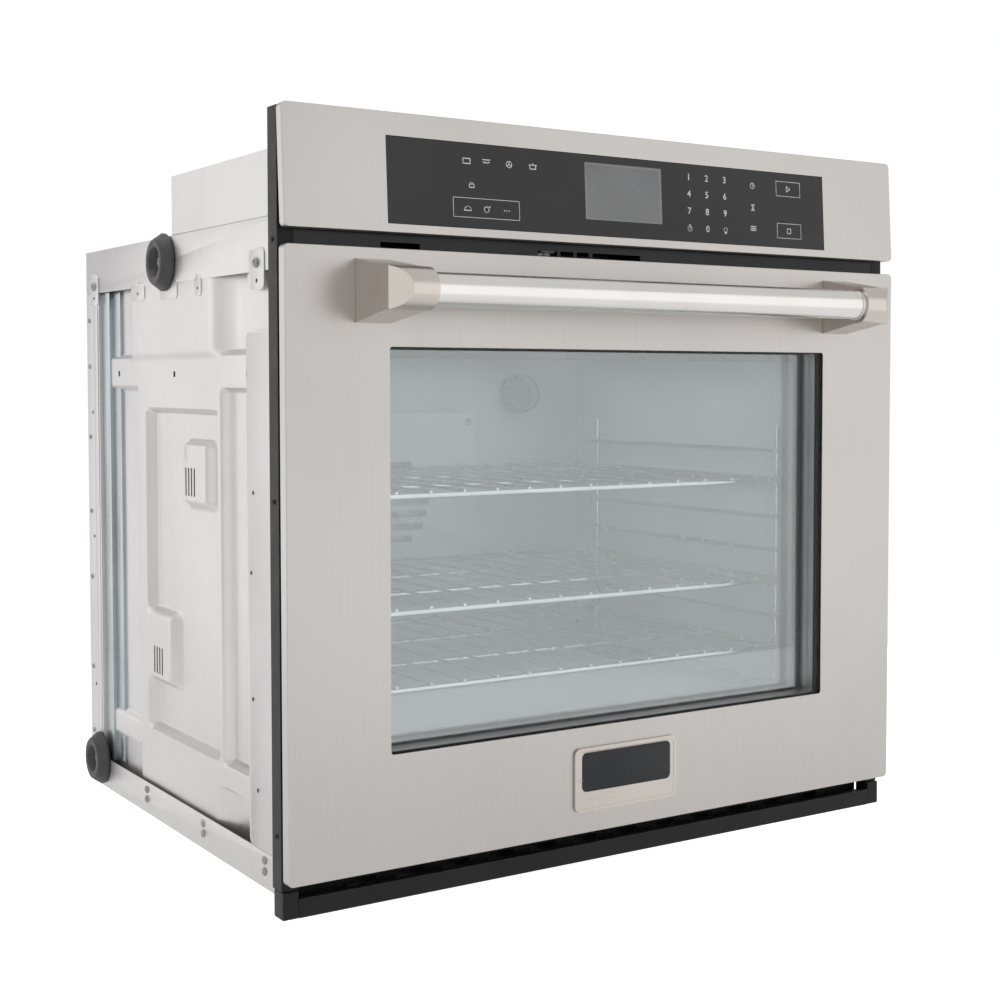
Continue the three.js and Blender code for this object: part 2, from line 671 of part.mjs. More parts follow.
function topHousing() {
  const y = [CABINET + GAP, CABINET + HOUSING_D];
  const up = [BODY_H + GAP, BODY_H + HOUSING_H];
  const shell = block([-SIDE, SIDE], y, up)
    .subtract(block([-SIDE + SHEET, SIDE - SHEET], inset(y, SHEET), [up[0] - 1, up[1] - SHEET]));
  const outlet = slotRow([-90, 90], 4, 36, [y[0] - 1, y[0] + 2], [up[0] + 12, up[0] + 44]);
  return without(shell, outlet);
}

function bumper() {
  const profile = [
    [0, 0], [BUMPER_FOOT, 0], [BUMPER_FOOT, 2], [BUMPER_NOSE + 1, BUMPER_H - 1], [BUMPER_NOSE, BUMPER_H],
    [BUMPER_HOLLOW, BUMPER_H], [BUMPER_HOLLOW - 2, 5], [0, 5],
  ];
  return solid(new THREE.LatheGeometry(profile.map(([r, h]) => new THREE.Vector2(r, h)), 24));
}

function placeBumpers(parent) {
  const corners = ['upper', 'lower'];
  for (const [name, side] of SIDES) {
    BUMPERS.forEach(([back, up], i) => {
      place(parent, `bumper_${corners[i]}_${name}`, bumper(), RUBBER, [side * (SIDE + GAP), FACE + back, up]);
      parent.children.at(-1).rotation.z = -side * Math.PI / 2;
    });
  }
}

function conduitGland() {
  const at = [250, 590];
  const nut = rod('y', 17, [BACK + GAP, BACK + 8], at, 6);
  const tube = rod('y', 10.5, [BACK - 12, BACK + 20], at);
  return nut.add(tube).subtract(rod('y', 8, [BACK - 14, BACK + 22], at));
}

// ---------- cavity ----------

function cavityLiner() {
  const outer = [inset(CAVITY, -LINER_T), inset(CAVITY_UP, -LINER_T)];
  const box = block(outer[0], [CAVITY_FRONT, CAVITY_BACK + LINER_T], outer[1]);
  const flange = block(
    inset(CAVITY, -CAVITY_FLANGE), [CAVITY_FRONT, CAVITY_FRONT + LINER_T], inset(CAVITY_UP, -CAVITY_FLANGE),
  );
  const hollow = block(CAVITY, [CAVITY_FRONT - 1, CAVITY_BACK], CAVITY_UP);
  const shaft = rod('y', 2 * FAN_SHAFT_R, [CAVITY_BACK - 1, CAVITY_BACK + 3], [0, FAN_Z], 16);
  const lamp = rod('y', SOCKET_R + GAP, [CAVITY_BACK - 1, CAVITY_BACK + 3], LAMP);
  return without(box.add(flange), [hollow, shaft, lamp, ...terminalHoles()]);
}

// Fibre blanket round the liner, open to the front.
function insulation() {
  const wall = LINER_T + GAP;
  const x = inset(CAVITY, -wall - BLANKET);
  const front = CAVITY_FRONT + LINER_T + GAP;
  const back = CAVITY_BACK + wall + BLANKET;
  const room = block(
    inset(CAVITY, -wall), [front - 1, CAVITY_BACK + wall],
    [CAVITY_UP[0] - LINER_T - FLOOR_SPACE, CAVITY_UP[1] + wall],
  );
  const shaft = rod('y', 2 * FAN_SHAFT_R, [CAVITY_BACK, back + 1], [0, FAN_Z], 16);
  const lamp = rod('y', SOCKET_R + 2, [CAVITY_BACK, back + 1], LAMP);
  return without(block(x, [front, back], BLANKET_UP), [room, shaft, lamp, ...terminalHoles()]);
}

// Wire ladder: two uprights against the wall and a rung for every rack position.
function rackGuide(side) {
  const wall = CAVITY[1] - GAP;
  const y = [FACE + RACK_FRONT - 6, FACE + RACK_FRONT + RACK_D + 4];
  const up = [RACK_LEVEL - 12, RACK_LEVEL + (RACK_LEVELS - 1) * RACK_PITCH + 24];
  const uprights = [y[0] + 30, y[1] - 30].map((at) => block(
    sided(side, [wall - GUIDE_BAR, wall]), [at - GUIDE_BAR / 2, at + GUIDE_BAR / 2], up,
  ));
  const rungs = Array.from({ length: RACK_LEVELS }, (_, i) => {
    const top = RACK_LEVEL + i * RACK_PITCH - RACK_BAR / 2 - GAP;
    return block(sided(side, [wall - GUIDE_BAR - GUIDE_STEP, wall - GUIDE_BAR + 1]), y, [top - GUIDE_BAR, top]);
  });
  return joined([...uprights, ...rungs]);
}

// Bars round the edge, two stiffeners and the wires that carry the dishes, about its own height.
function rack() {
  const half = RACK_BAR / 2;
  const x = [-RACK_SIDE_X, RACK_SIDE_X];
  const y = [FACE + RACK_FRONT, FACE + RACK_FRONT + RACK_D];
  const edge = block(inset(x, -half), y, [-half, half])
    .subtract(block(inset(x, half), inset(y, RACK_BAR), [-RACK_BAR, RACK_BAR]));
  const bars = [edge];
  for (const at of [y[0] + RACK_D / 3, y[1] - RACK_D / 3]) {
    bars.push(block(x, [at - half, at + half], [-half, half - RACK_SET - GAP]));
  }
  const step = (x[1] - x[0]) / (RACK_WIRES + 1);
  for (let i = 1; i <= RACK_WIRES; i += 1) {
    const at = x[0] + i * step;
    const wire = [half - RACK_SET, half - RACK_SET + RACK_WIRE];
    bars.push(block([at - RACK_WIRE / 2, at + RACK_WIRE / 2], inset(y, 1), wire));
  }
  return joined(bars);
}

// A square-section bar along a path of straight runs in X and Y, with square corners.
function bentBar(points, r) {
  const left = points.slice(1).map(([x, y], i) => {
    const run = Math.hypot(x - points[i][0], y - points[i][1]);
    return [(points[i][1] - y) / run, (x - points[i][0]) / run];
  });
  const corner = ([x, y], i, side) => {
    const [before, after] = [left[Math.max(i - 1, 0)], left[Math.min(i, left.length - 1)]];
    const turned = before[0] * after[0] + before[1] * after[1] < 0.5;
    const [u, v] = turned ? [before[0] + after[0], before[1] + after[1]] : before;
    return [x + side * r * u, y + side * r * v];
  };
  const near = points.map((point, i) => corner(point, i, 1));
  const far = points.map((point, i) => corner(point, i, -1)).reverse();
  return tall(outline([...near, ...far]), [-r, r]);
}

// Places where the elements' ends pass through the back wall, across and up.
function terminals() {
  const reach = CAVITY[1] - ELEMENT_SIDE;
  return [
    [-reach, bakeZ()], [reach, bakeZ()],
    [-reach, CAVITY_UP[1] - BROIL_DROP], [reach, CAVITY_UP[1] - BROIL_DROP],
    [-RING_ENDS, FAN_Z + RING_R], [RING_ENDS, FAN_Z + RING_R],
  ];
}

// The bake element lies on the blanket, under the cavity's floor.
function bakeZ() {
  return CAVITY_UP[0] - LINER_T - FLOOR_SPACE + GAP + ELEMENT_R;
}

function terminalHoles() {
  const y = [CAVITY_BACK - 1, CAVITY_BACK + LINER_T + BLANKET + 1];
  return terminals().map((at) => rod('y', ELEMENT_HOLE, y, at, 12));
}

// Folded tube in four long loops, with both ends turned to the back.
function element(wide, [front, back]) {
  const rows = 5;
  const end = CAVITY_BACK + ELEMENT_END;
  const points = [[-wide, end], [-wide, front]];
  for (let i = 1; i < rows; i += 1) {
    const x = -wide + (2 * wide * i) / rows;
    const [near, far] = i % 2 ? [front, back] : [back, front];
    points.push([x, near], [x, far]);
  }
  points.push([wide, front], [wide, end]);
  return bentBar(points, ELEMENT_R);
}

function convectionElement() {
  const y = [CAVITY_BACK - 12 - ELEMENT_R, CAVITY_BACK - 12 + ELEMENT_R];
  const ring = rod('y', RING_R + ELEMENT_R, y, [0, FAN_Z], 40)
    .subtract(rod('y', RING_R - ELEMENT_R, inset(y, -1), [0, FAN_Z], 40));
  const open = block([-RING_ENDS + ELEMENT_R, RING_ENDS - ELEMENT_R], inset(y, -1), [FAN_Z, FAN_Z + 2 * RING_R]);
  const ends = [-RING_ENDS, RING_ENDS].map((x) => block(
    [x - ELEMENT_R, x + ELEMENT_R], [y[0], CAVITY_BACK + ELEMENT_END],
    [FAN_Z + RING_R - ELEMENT_R, FAN_Z + RING_R + ELEMENT_R],
  ));
  return joined([ring.subtract(open), ...ends]);
}

// Pressed baffle with an inlet of slots in front of the fan and outlets round its edge.
function fanCover() {
  const x = [-COVER_W / 2, COVER_W / 2];
  const up = [FAN_Z - COVER_H / 2, FAN_Z + COVER_H / 2];
  const y = [CAVITY_BACK - COVER_DEPTH, CAVITY_BACK - GAP];
  const pan = block(x, y, up).subtract(block(inset(x, SHEET), [y[0] + SHEET, y[1] + 1], inset(up, SHEET)));
  const front = [y[0] - 1, y[0] + SHEET + 1];
  const inlets = [-48, -32, -16, 0, 16, 32, 48].map((dz) => {
    const half = Math.sqrt(58 ** 2 - dz ** 2);
    return block([-half, half], front, [FAN_Z + dz - 4, FAN_Z + dz + 4]);
  });
  const outlets = [up[0] - 1, up[1] - 3].map((z) => block([-90, 90], inset(y, 6), [z, z + 4]));
  return without(pan, [...inlets, ...outlets]);
}

// Disc with radial blades on a shaft that runs back into the motor.
function convectionFan() {
  const front = CAVITY_BACK - COVER_DEPTH + SHEET + 3;
  const disc = rod('y', FAN_R, [front + FAN_T - 1, front + FAN_T], [0, FAN_Z], 32);
  const hub = rod('y', 12, [front + 2, front + FAN_T], [0, FAN_Z], 16);
  const shaft = rod('y', FAN_SHAFT_R, [front, CAVITY_BACK + BLANKET + 20], [0, FAN_Z], 16);
  const blades = Array.from({ length: 8 }, (_, i) => {
    const blade = new THREE.BoxGeometry(FAN_R - 10, FAN_T - 0.5, 1.2);
    blade.translate((FAN_R + 8) / 2, front + FAN_T / 2, 0).rotateY((i * Math.PI) / 4).translate(0, 0, FAN_Z);
    return solid(blade);
  });
  return joined([disc, hub, shaft, ...blades]);
}

function fanMotor() {
  const front = CAVITY_BACK + LINER_T + GAP + BLANKET + GAP;
  const body = rod('y', MOTOR_R, [front + 2, Math.min(front + MOTOR_T, BACK - SHEET - 2)], [0, FAN_Z], 32);
  const plate = block([-60, 60], [front, front + 2.5], [FAN_Z - 18, FAN_Z + 18]);
  return body.add(plate).subtract(rod('y', FAN_SHAFT_R + PIN_PLAY, [front - 1, front + 20], [0, FAN_Z], 24));
}

// ---------- cooling blower and lamp ----------

function blowerAxis() {
  return [BLOWER_Y, BODY_H + HOUSING_H / 2 + 1];
}

// Duct open to the front and below, with the motor's round case on its right end.
function blowerHousing() {
  const [y, z] = blowerAxis();
  const room = BLOWER_R + 3;
  const x = [-BLOWER_L / 2 - 3, BLOWER_L / 2 + 3];
  const outer = block(
    inset(x, -BLOWER_WALL), [y - 60, y + room + BLOWER_WALL], [BODY_H + 2 * GAP, z + room + BLOWER_WALL],
  );
  const hollow = block(x, [y - 61, y + room], [BODY_H, z + room]);
  const foot = block([x[0] - 20, x[0]], [y - 20, y + 20], [BODY_H + 2 * GAP, BODY_H + BLOWER_FOOT]);
  const motor = rod('x', BLOWER_R - 4, [x[1], x[1] + 45], [y, z]);
  const bore = rod('x', FAN_SHAFT_R + PIN_PLAY, [x[1] - 1, x[1] + 30], [y, z]);
  const pocket = rod('x', FAN_SHAFT_R + PIN_PLAY, [x[0] - 2 * BLOWER_WALL, x[0] + 1], [y, z]);
  return without(joined([outer.subtract(hollow), foot, motor]), [bore, pocket]);
}

function blowerWheel() {
  const [y, z] = blowerAxis();
  const half = BLOWER_L / 2;
  const discs = [-half, -1, half - 2].map((x) => rod('x', BLOWER_R, [x, x + 2], [y, z], 16));
  const shaft = rod('x', FAN_SHAFT_R, [-half - 4, half + 28], [y, z], 16);
  const blades = Array.from({ length: 8 }, (_, i) => {
    const blade = new THREE.BoxGeometry(BLOWER_L - 1, 1, 6);
    blade.translate(0, 0, BLOWER_R - 3.5).rotateX((i * Math.PI) / 4).translate(0, y, z);
    return solid(blade);
  });
  return joined([...discs, shaft, ...blades]);
}

function ovenLamp() {
  const neck = rod('y', SOCKET_R, [CAVITY_BACK - 8, CAVITY_BACK + LINER_T + BLANKET + 20], LAMP);
  const collar = rod('y', SOCKET_R + 4, [CAVITY_BACK - 3, CAVITY_BACK - GAP], LAMP);
  return neck.add(collar);
}

function lampLens() {
  const y = [CAVITY_BACK - 24, CAVITY_BACK - GAP];
  return rod('y', LAMP_R, y, LAMP, 32).subtract(rod('y', LAMP_R - 3, [y[0] + 3, y[1] + 1], LAMP, 32));
}

// ---------- assembly ----------

function door() {
  const group = new THREE.Group();
  place(group, 'door_skin', doorSkin(), STAINLESS);
  place(group, 'outer_glass', pane(inset(WINDOW, -GLASS_LAP), inset(WINDOW_UP, -GLASS_LAP), FACE + SHEET + GAP), CLEAR);
  const middle = FACE + (SHEET + LINER_BACK) / 2;
  place(group, 'middle_glass', pane(inset(TUNNEL, GAP), inset(TUNNEL_UP, GAP), middle), CLEAR);
  const rear = FACE + LINER_BACK - SHEET - GAP - GLASS_T;
  place(group, 'inner_glass', pane(inset(TUNNEL, GAP), inset(TUNNEL_UP, GAP), rear), CLEAR);
  place(group, 'door_liner', doorLiner(), ENAMEL);
  place(group, 'handle_bar', handleBar(), NICKEL);
  place(group, 'badge_plate', badgePlate(), NICKEL);
  for (const [name, side] of SIDES) {
    place(group, `handle_bracket_${name}`, handleBracket(side), NICKEL);
    place(group, `hinge_channel_${name}`, hingeChannel(side), BARE_STEEL);
    place(group, `hinge_rod_${name}`, hingeRod(side), BARE_STEEL);
    place(group, `hinge_spring_${name}`, hingeSpring(side), BARE_STEEL);
  }
  return group;
}

function controlPanel() {
  const group = new THREE.Group();
  group.position.set(0, FACE, PANEL_Z);
  group.rotation.x = -LEAN;
  place(group, 'panel_skin', panelSkin(), STAINLESS);
  place(group, 'control_glass', controlGlass(), SMOKED);
  place(group, 'display_board', displayBoard(), SCREEN);
  return group;
}

function front() {
  const group = new THREE.Group();
  place(group, 'control_tray', controlTray(), GALVANISED);
  place(group, 'vent_trim', ventTrim(), BLACK);
  place(group, 'front_frame', frontFrame(), ENAMEL);
  place(group, 'door_gasket', doorGasket(), FIBRE);
  place(group, 'latch_hook', latchHook(), BARE_STEEL);
  place(group, 'latch_motor', latchMotor(), PLASTIC);
  place(group, 'door_switch', doorSwitch(), PLASTIC);
  place(group, 'switch_plunger', switchPlunger(), PLASTIC);
  for (const [name, side] of SIDES) {
    place(group, `side_trim_${name}`, sideTrim(side), BLACK);
    place(group, `end_block_${name}`, endBlock(side), BLACK);
    place(group, `hinge_arm_${name}`, hingeArm(side), BARE_STEEL);
  }
  return group;
}

function box() {
  const group = new THREE.Group();
  for (const [name, side] of SIDES) {
    place(group, `side_panel_${name}`, sidePanel(side), GALVANISED);
  }
  place(group, 'rear_panel', rearPanel(), GALVANISED);
  place(group, 'base_pan', basePan(), GALVANISED);
  place(group, 'top_cover', topCover(), GALVANISED);
  place(group, 'top_housing', topHousing(), GALVANISED);
  place(group, 'conduit_gland', conduitGland(), CHROME);
  place(group, 'blower_housing', blowerHousing(), GALVANISED);
  place(group, 'blower_wheel', blowerWheel(), CHROME);
  placeBumpers(group);
  return group;
}

function cavity() {
  const group = new THREE.Group();
  place(group, 'cavity_liner', cavityLiner(), ENAMEL);
  place(group, 'insulation', insulation(), FIBRE);
  for (const [name, side] of SIDES) {
    place(group, `rack_guide_${name}`, rackGuide(side), CHROME);
  }
  ['lower', 'middle', 'top'].forEach((name, i) => {
    place(group, `rack_${name}`, rack(), CHROME, [0, 0, RACK_LEVEL + RACK_PLACES[i] * RACK_PITCH]);
  });
  const reach = CAVITY[1] - ELEMENT_SIDE;
  const span = [CAVITY_FRONT + ELEMENT_SIDE, CAVITY_BACK - ELEMENT_SIDE];
  place(group, 'bake_element', element(reach, span), ELEMENT, [0, 0, bakeZ()]);
  place(group, 'broil_element', element(reach, span), ELEMENT, [0, 0, CAVITY_UP[1] - BROIL_DROP]);
  place(group, 'convection_element', convectionElement(), ELEMENT);
  place(group, 'fan_cover', fanCover(), ENAMEL);
  place(group, 'convection_fan', convectionFan(), BARE_STEEL);
  place(group, 'fan_motor', fanMotor(), BARE_STEEL);
  place(group, 'oven_lamp', ovenLamp(), PLASTIC);
  place(group, 'lamp_lens', lampLens(), CLEAR);
  return group;
}

const oven = new THREE.Group();
oven.add(door(), controlPanel(), front(), box(), cavity());

export default oven;
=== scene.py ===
# %% [markdown]
# A built-in wall oven: a drop-down glass door with a tubular handle, a touch control panel, black
# trims and a galvanised box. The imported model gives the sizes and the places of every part. This
# lesson loads it as a fixed frame, gives every part its finish, and makes again the parts that
# deserve more shape: round wires, pressed side sheets, coil springs, screws and rubber bumpers.

# %% The fixed frame
import json
import math

import bmesh
import bpy
from mathutils import Matrix, Vector


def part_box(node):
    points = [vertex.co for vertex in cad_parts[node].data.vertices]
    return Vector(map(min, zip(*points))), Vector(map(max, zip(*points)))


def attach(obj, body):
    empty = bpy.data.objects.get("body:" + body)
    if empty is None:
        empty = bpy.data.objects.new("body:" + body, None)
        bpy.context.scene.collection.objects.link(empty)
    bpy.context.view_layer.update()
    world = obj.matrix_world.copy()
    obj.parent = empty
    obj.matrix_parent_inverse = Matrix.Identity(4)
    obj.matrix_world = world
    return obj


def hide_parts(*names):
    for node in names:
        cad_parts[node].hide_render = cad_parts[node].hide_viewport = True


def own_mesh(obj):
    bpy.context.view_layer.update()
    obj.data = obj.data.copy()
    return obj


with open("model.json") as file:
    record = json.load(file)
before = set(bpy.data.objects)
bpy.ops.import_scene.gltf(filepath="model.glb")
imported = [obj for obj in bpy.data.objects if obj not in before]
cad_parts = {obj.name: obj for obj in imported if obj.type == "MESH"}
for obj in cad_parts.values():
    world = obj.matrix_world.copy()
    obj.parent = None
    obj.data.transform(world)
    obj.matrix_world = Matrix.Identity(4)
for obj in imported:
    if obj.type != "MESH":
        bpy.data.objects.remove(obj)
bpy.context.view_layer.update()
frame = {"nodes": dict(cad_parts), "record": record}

MM = 0.001
SIDES = (("left", -1), ("right", 1))
bodies = frame["record"]["behaviour"]["bodies"]
body_of_node = {node: body for body, nodes in bodies.items() for node in nodes}
slot_of_node = {row["node"]: row["material_slot"] for row in frame["record"]["subparts"]}


def new_object(name, data):
    made = bpy.data.objects.new(name, data)
    bpy.context.scene.collection.objects.link(made)
    return made


# %% [markdown]
# The camera stands to the left of the oven, just above the middle of its height, and looks a
# little downward. It is made first, from a place, three angles and a focal length, because the
# rest of the work is judged through it. A turn matrix is built from the camera's own right, up
# and backward directions, which is clearer than three Euler angles.

# %% Camera
CAMERA_AT = Vector((-0.982, -1.669, 0.4877))
TURN, DIP, ROLL = (math.radians(a) for a in (34.12, 2.59, 0.05))
LENS, SHIFT = 58.28, (-0.0676, -0.0455)

ahead = Vector((math.sin(TURN) * math.cos(DIP), math.cos(TURN) * math.cos(DIP), -math.sin(DIP)))
flat_right = Vector((math.cos(TURN), -math.sin(TURN), 0))
flat_up = flat_right.cross(ahead)
right = flat_right * math.cos(ROLL) + flat_up * math.sin(ROLL)
up = flat_up * math.cos(ROLL) - flat_right * math.sin(ROLL)
camera = new_object("camera", bpy.data.cameras.new("camera"))
turn = Matrix((right, up, -ahead)).transposed().to_4x4()
camera.matrix_world = Matrix.Translation(CAMERA_AT) @ turn
camera.data.lens, camera.data.sensor_width = LENS, 36
camera.data.shift_x, camera.data.shift_y = SHIFT
bpy.context.scene.camera = camera
print("camera", [round(v, 3) for v in CAMERA_AT])

# %% [markdown]
# A sheet of steel never has one flat colour. What changes over it is always the same few things:
# the lines left by brushing, cloudy smears, zinc flowers, fine scratches, and bright worn edges.
# Each of these effects is a shader node group with named inputs and outputs, built once here and
# placed in every finish that needs it. A group gives out only masks and heights, and the shader
# itself stays in the material.

# %% Helpers for the node groups
STRETCH = ("Stretch", "NodeSocketVector", (1, 1, 1))


def number(label, value):
    return label, "NodeSocketFloat", value


def start_group(name, inputs, outputs):
    group = bpy.data.node_groups.new(name, "ShaderNodeTree")
    for label, kind, value in inputs:
        socket = group.interface.new_socket(label, in_out="INPUT", socket_type=kind)
        socket.default_value = value
    for label in outputs:
        group.interface.new_socket(label, in_out="OUTPUT", socket_type="NodeSocketFloat")
    return group, group.nodes.new("NodeGroupInput"), group.nodes.new("NodeGroupOutput")


def link(group, source, target):
    group.links.new(source, target)
    return target


def node(tree, kind, **settings):
    made = tree.nodes.new(kind)
    for key, value in settings.items():
        if key in made.inputs:
            made.inputs[key].default_value = value
        else:
            setattr(made, key, value)
    return made


def spread(tree, source, low, high, to_low=0.0, to_high=1.0):
    ramp = tree.nodes.new("ShaderNodeMapRange")
    for index, value in enumerate((low, high, to_low, to_high), 1):
        ramp.inputs[index].default_value = value
    link(tree, source, ramp.inputs[0])
    return ramp.outputs[0]


def maths(tree, operation, *values):
    made = node(tree, "ShaderNodeMath", operation=operation)
    for socket, value in zip(made.inputs, values):
        if isinstance(value, float):
            socket.default_value = value
        else:
            link(tree, value, socket)
    return made.outputs[0]


def on_object(tree):
    return tree.nodes.new("ShaderNodeTexCoord").outputs["Object"]


def stretched(group, given):
    pull = node(group, "ShaderNodeVectorMath", operation="MULTIPLY")
    link(group, on_object(group), pull.inputs[0])
    link(group, given.outputs["Stretch"], pull.inputs[1])
    return pull.outputs[0]


def texture(group, kind, vector, scale=None, **settings):
    made = node(group, "ShaderNodeTex" + kind, **settings)
    link(group, vector, made.inputs["Vector"])
    if scale:
        link(group, scale, made.inputs["Scale"])
    return made.outputs


# %% Brushed lines and clouds
def brushed_lines():
    group, given, made = start_group("brushed_lines", [STRETCH, number("Scale", 1.0)], ["Lines", "Fine"])
    pulled = stretched(group, given)
    for label, detail, roughness in (("Lines", 3.0, 0.6), ("Fine", 8.0, 0.8)):
        noise = texture(group, "Noise", pulled, given.outputs["Scale"], Detail=detail, Roughness=roughness)
        link(group, spread(group, noise["Fac"], 0.3, 0.7), made.inputs[label])
    return group


def clouds():
    group, given, made = start_group("clouds", [number("Scale", 4.0)], ["Cloud", "Smear"])
    place = on_object(group)
    for label, detail, twist in (("Cloud", 2.0, 0.0), ("Smear", 5.0, 1.4)):
        noise = texture(group, "Noise", place, given.outputs["Scale"], Detail=detail, Distortion=twist)
        link(group, spread(group, noise["Fac"], 0.36, 0.64), made.inputs[label])
    return group


# %% Zinc flowers and scratches
def zinc_flowers():
    group, given, made = start_group("zinc_flowers", [number("Scale", 90.0)], ["Flower", "Rim"])
    place = on_object(group)
    mix = node(group, "ShaderNodeMix", data_type="VECTOR")
    mix.inputs[0].default_value = 0.006
    link(group, place, mix.inputs[4])
    link(group, texture(group, "Noise", place, Scale=60.0, Detail=3.0)["Color"], mix.inputs[5])
    flower, rim = (texture(group, "Voronoi", mix.outputs[1], given.outputs["Scale"], feature=feature)
                   for feature in ("F1", "DISTANCE_TO_EDGE"))
    parts = group.nodes.new("ShaderNodeSeparateColor")
    link(group, flower["Color"], parts.inputs[0])
    link(group, parts.outputs[0], made.inputs["Flower"])
    link(group, spread(group, rim["Distance"], 0.0, 0.08, 1.0, 0.0), made.inputs["Rim"])
    return group


def scratches():
    group, given, made = start_group("scratches", [STRETCH, number("Scale", 30.0)], ["Scratch"])
    pulled = stretched(group, given)
    cell = texture(group, "Voronoi", pulled, given.outputs["Scale"], feature="DISTANCE_TO_EDGE")
    line = spread(group, cell["Distance"], 0.0, 0.012, 1.0, 0.0)
    patch = texture(group, "Noise", on_object(group), Scale=9.0, Detail=2.0)
    both = maths(group, "MULTIPLY", line, spread(group, patch["Fac"], 0.5, 0.68))
    link(group, both, made.inputs["Scratch"])
    return group


# %% Worn edges
def worn_edges():
    group, given, made = start_group("worn_edges", [number("Breakup", 120.0)], ["Edge"])
    bevel = node(group, "ShaderNodeBevel", Radius=0.0012, samples=3)
    meet = node(group, "ShaderNodeVectorMath", operation="DOT_PRODUCT")
    link(group, bevel.outputs[0], meet.inputs[0])
    link(group, group.nodes.new("ShaderNodeNewGeometry").outputs["Normal"], meet.inputs[1])
    edge = spread(group, meet.outputs["Value"], 0.995, 0.86)
    noise = texture(group, "Noise", on_object(group), given.outputs["Breakup"], Detail=4.0)
    both = maths(group, "MULTIPLY", edge, spread(group, noise["Fac"], 0.38, 0.6))
    link(group, both, made.inputs["Edge"])
    return group


GROUPS = {made.name: made for made in (brushed_lines(), clouds(), zinc_flowers(), scratches(), worn_edges())}
print("node groups", sorted(GROUPS))

# %% [markdown]
# A finish is a dark and a light version of one colour, mixed by the groups' masks. The same masks
# move the roughness between two values and lift the surface through a Bump node. One function
# wires this for every opaque material, so each finish below is only a list of its own values.

# %% One function for every opaque finish
FINISHES = {}


def start_material(name):
    made = FINISHES[name] = bpy.data.materials.new(name)
    made.use_nodes = True
    return made, made.node_tree, made.node_tree.nodes["Principled BSDF"].inputs


def use(tree, name, **inputs):
    made = tree.nodes.new("ShaderNodeGroup")
    made.node_tree = GROUPS[name]
    for key, value in inputs.items():
        made.inputs[key.title()].default_value = value
    return made.outputs


def blend_colours(tree, mask, first, second):
    mix = node(tree, "ShaderNodeMix", data_type="RGBA")
    link(tree, mask, mix.inputs[0])
    for socket, value in ((mix.inputs[6], first), (mix.inputs[7], second)):
        if isinstance(value, tuple):
            socket.default_value = (*value, 1)
        else:
            link(tree, value, socket)
    return mix.outputs[2]


def scaled(tree, mask, amount):
    return maths(tree, "MULTIPLY", mask, amount)


def finish(name, dark, light, rough, metal=0.0, stretch=(1, 1, 1), grain=400.0, lines=0.5, cloud=5.0,
           flowers=0.0, worn=(0.8, 0.8, 0.8), wear=0.3, scratched=0.3, bump=0.15, depth=0.0002,
           coat=0.0, gloss=0.5):
    made, tree, shader = start_material(name)
    for label, value in (("Metallic", metal), ("Coat Weight", coat), ("Specular IOR Level", gloss)):
        shader[label].default_value = value
    grain_of = use(tree, "brushed_lines", stretch=stretch, scale=grain)
    cloud_of = use(tree, "clouds", scale=cloud)
    streaks = scaled(tree, grain_of["Lines"], lines)
    mask = maths(tree, "ADD", streaks, scaled(tree, cloud_of["Cloud"], 1 - lines))
    height = grain_of["Fine"]
    if flowers:
        zinc = use(tree, "zinc_flowers", scale=flowers)
        mask = maths(tree, "ADD", scaled(tree, mask, 0.85), scaled(tree, zinc["Flower"], 0.15))
        height = maths(tree, "ADD", height, scaled(tree, zinc["Rim"], 0.4))
    colour = blend_colours(tree, mask, dark, light)
    scratch = use(tree, "scratches", stretch=stretch, scale=grain * 0.1)["Scratch"]
    edge = scaled(tree, use(tree, "worn_edges", breakup=160.0)["Edge"], wear)
    colour = blend_colours(tree, scaled(tree, scratch, scratched), colour, worn)
    link(tree, blend_colours(tree, edge, colour, worn), shader["Base Color"])
    shine = maths(tree, "ADD", scaled(tree, cloud_of["Smear"], 0.6), scaled(tree, grain_of["Lines"], 0.4))
    link(tree, spread(tree, shine, 0.0, 1.0, *rough), shader["Roughness"])
    lift = node(tree, "ShaderNodeBump", Strength=bump, Distance=depth)
    link(tree, maths(tree, "ADD", height, scaled(tree, scratch, -scratched)), lift.inputs["Height"])
    link(tree, lift.outputs[0], shader["Normal"])
    return made


# %% [markdown]
# The front is stainless steel brushed from top to bottom, so its noise is squeezed across and
# pulled long up the sheet. The handle is satin nickel, warmer and brushed along the bar. The box
# is zinc coated: it shows large soft flowers and smears from handling. Black paint, enamel and
# rubber differ mostly in roughness, and the edges of each wear to its own lighter colour.

# %% The finishes
UPRIGHT, ALONG, EVEN = (1, 1, 0.02), (0.02, 1, 1), (1, 1, 1)
finish("stainless", (0.53, 0.505, 0.485), (0.60, 0.575, 0.555), (0.30, 0.42), 1.0, UPRIGHT, 900.0, 0.5, 2.2,
       worn=(0.78, 0.76, 0.74), wear=0.35, scratched=0.08, bump=0.06, depth=0.0001)
finish("satin_nickel", (0.60, 0.545, 0.50), (0.66, 0.61, 0.565), (0.25, 0.31), 1.0, EVEN, 800.0, 0.08, 9.0,
       worn=(0.85, 0.82, 0.78), wear=0.1, scratched=0.0, bump=0.002, depth=0.00005)
finish("control_glass", (0.010, 0.010, 0.0115), (0.018, 0.018, 0.020), (0.05, 0.13), 0.0, EVEN, 300.0,
       0.3, 8.0, worn=(0.12, 0.12, 0.12), wear=0.3, scratched=0.05, bump=0.01, gloss=0.4)
finish("circuit_board", (0.05, 0.15, 0.08), (0.09, 0.24, 0.13), (0.3, 0.5), 0.0, ALONG, 260.0, 0.6, 40.0,
       worn=(0.5, 0.45, 0.2), wear=0.5, scratched=0.4, bump=0.2)
finish("black_enamel", (0.017, 0.018, 0.020), (0.030, 0.031, 0.034), (0.12, 0.24), 0.0, EVEN, 500.0,
       0.4, 12.0, worn=(0.10, 0.10, 0.11), wear=0.4, scratched=0.1, bump=0.08, gloss=0.25)
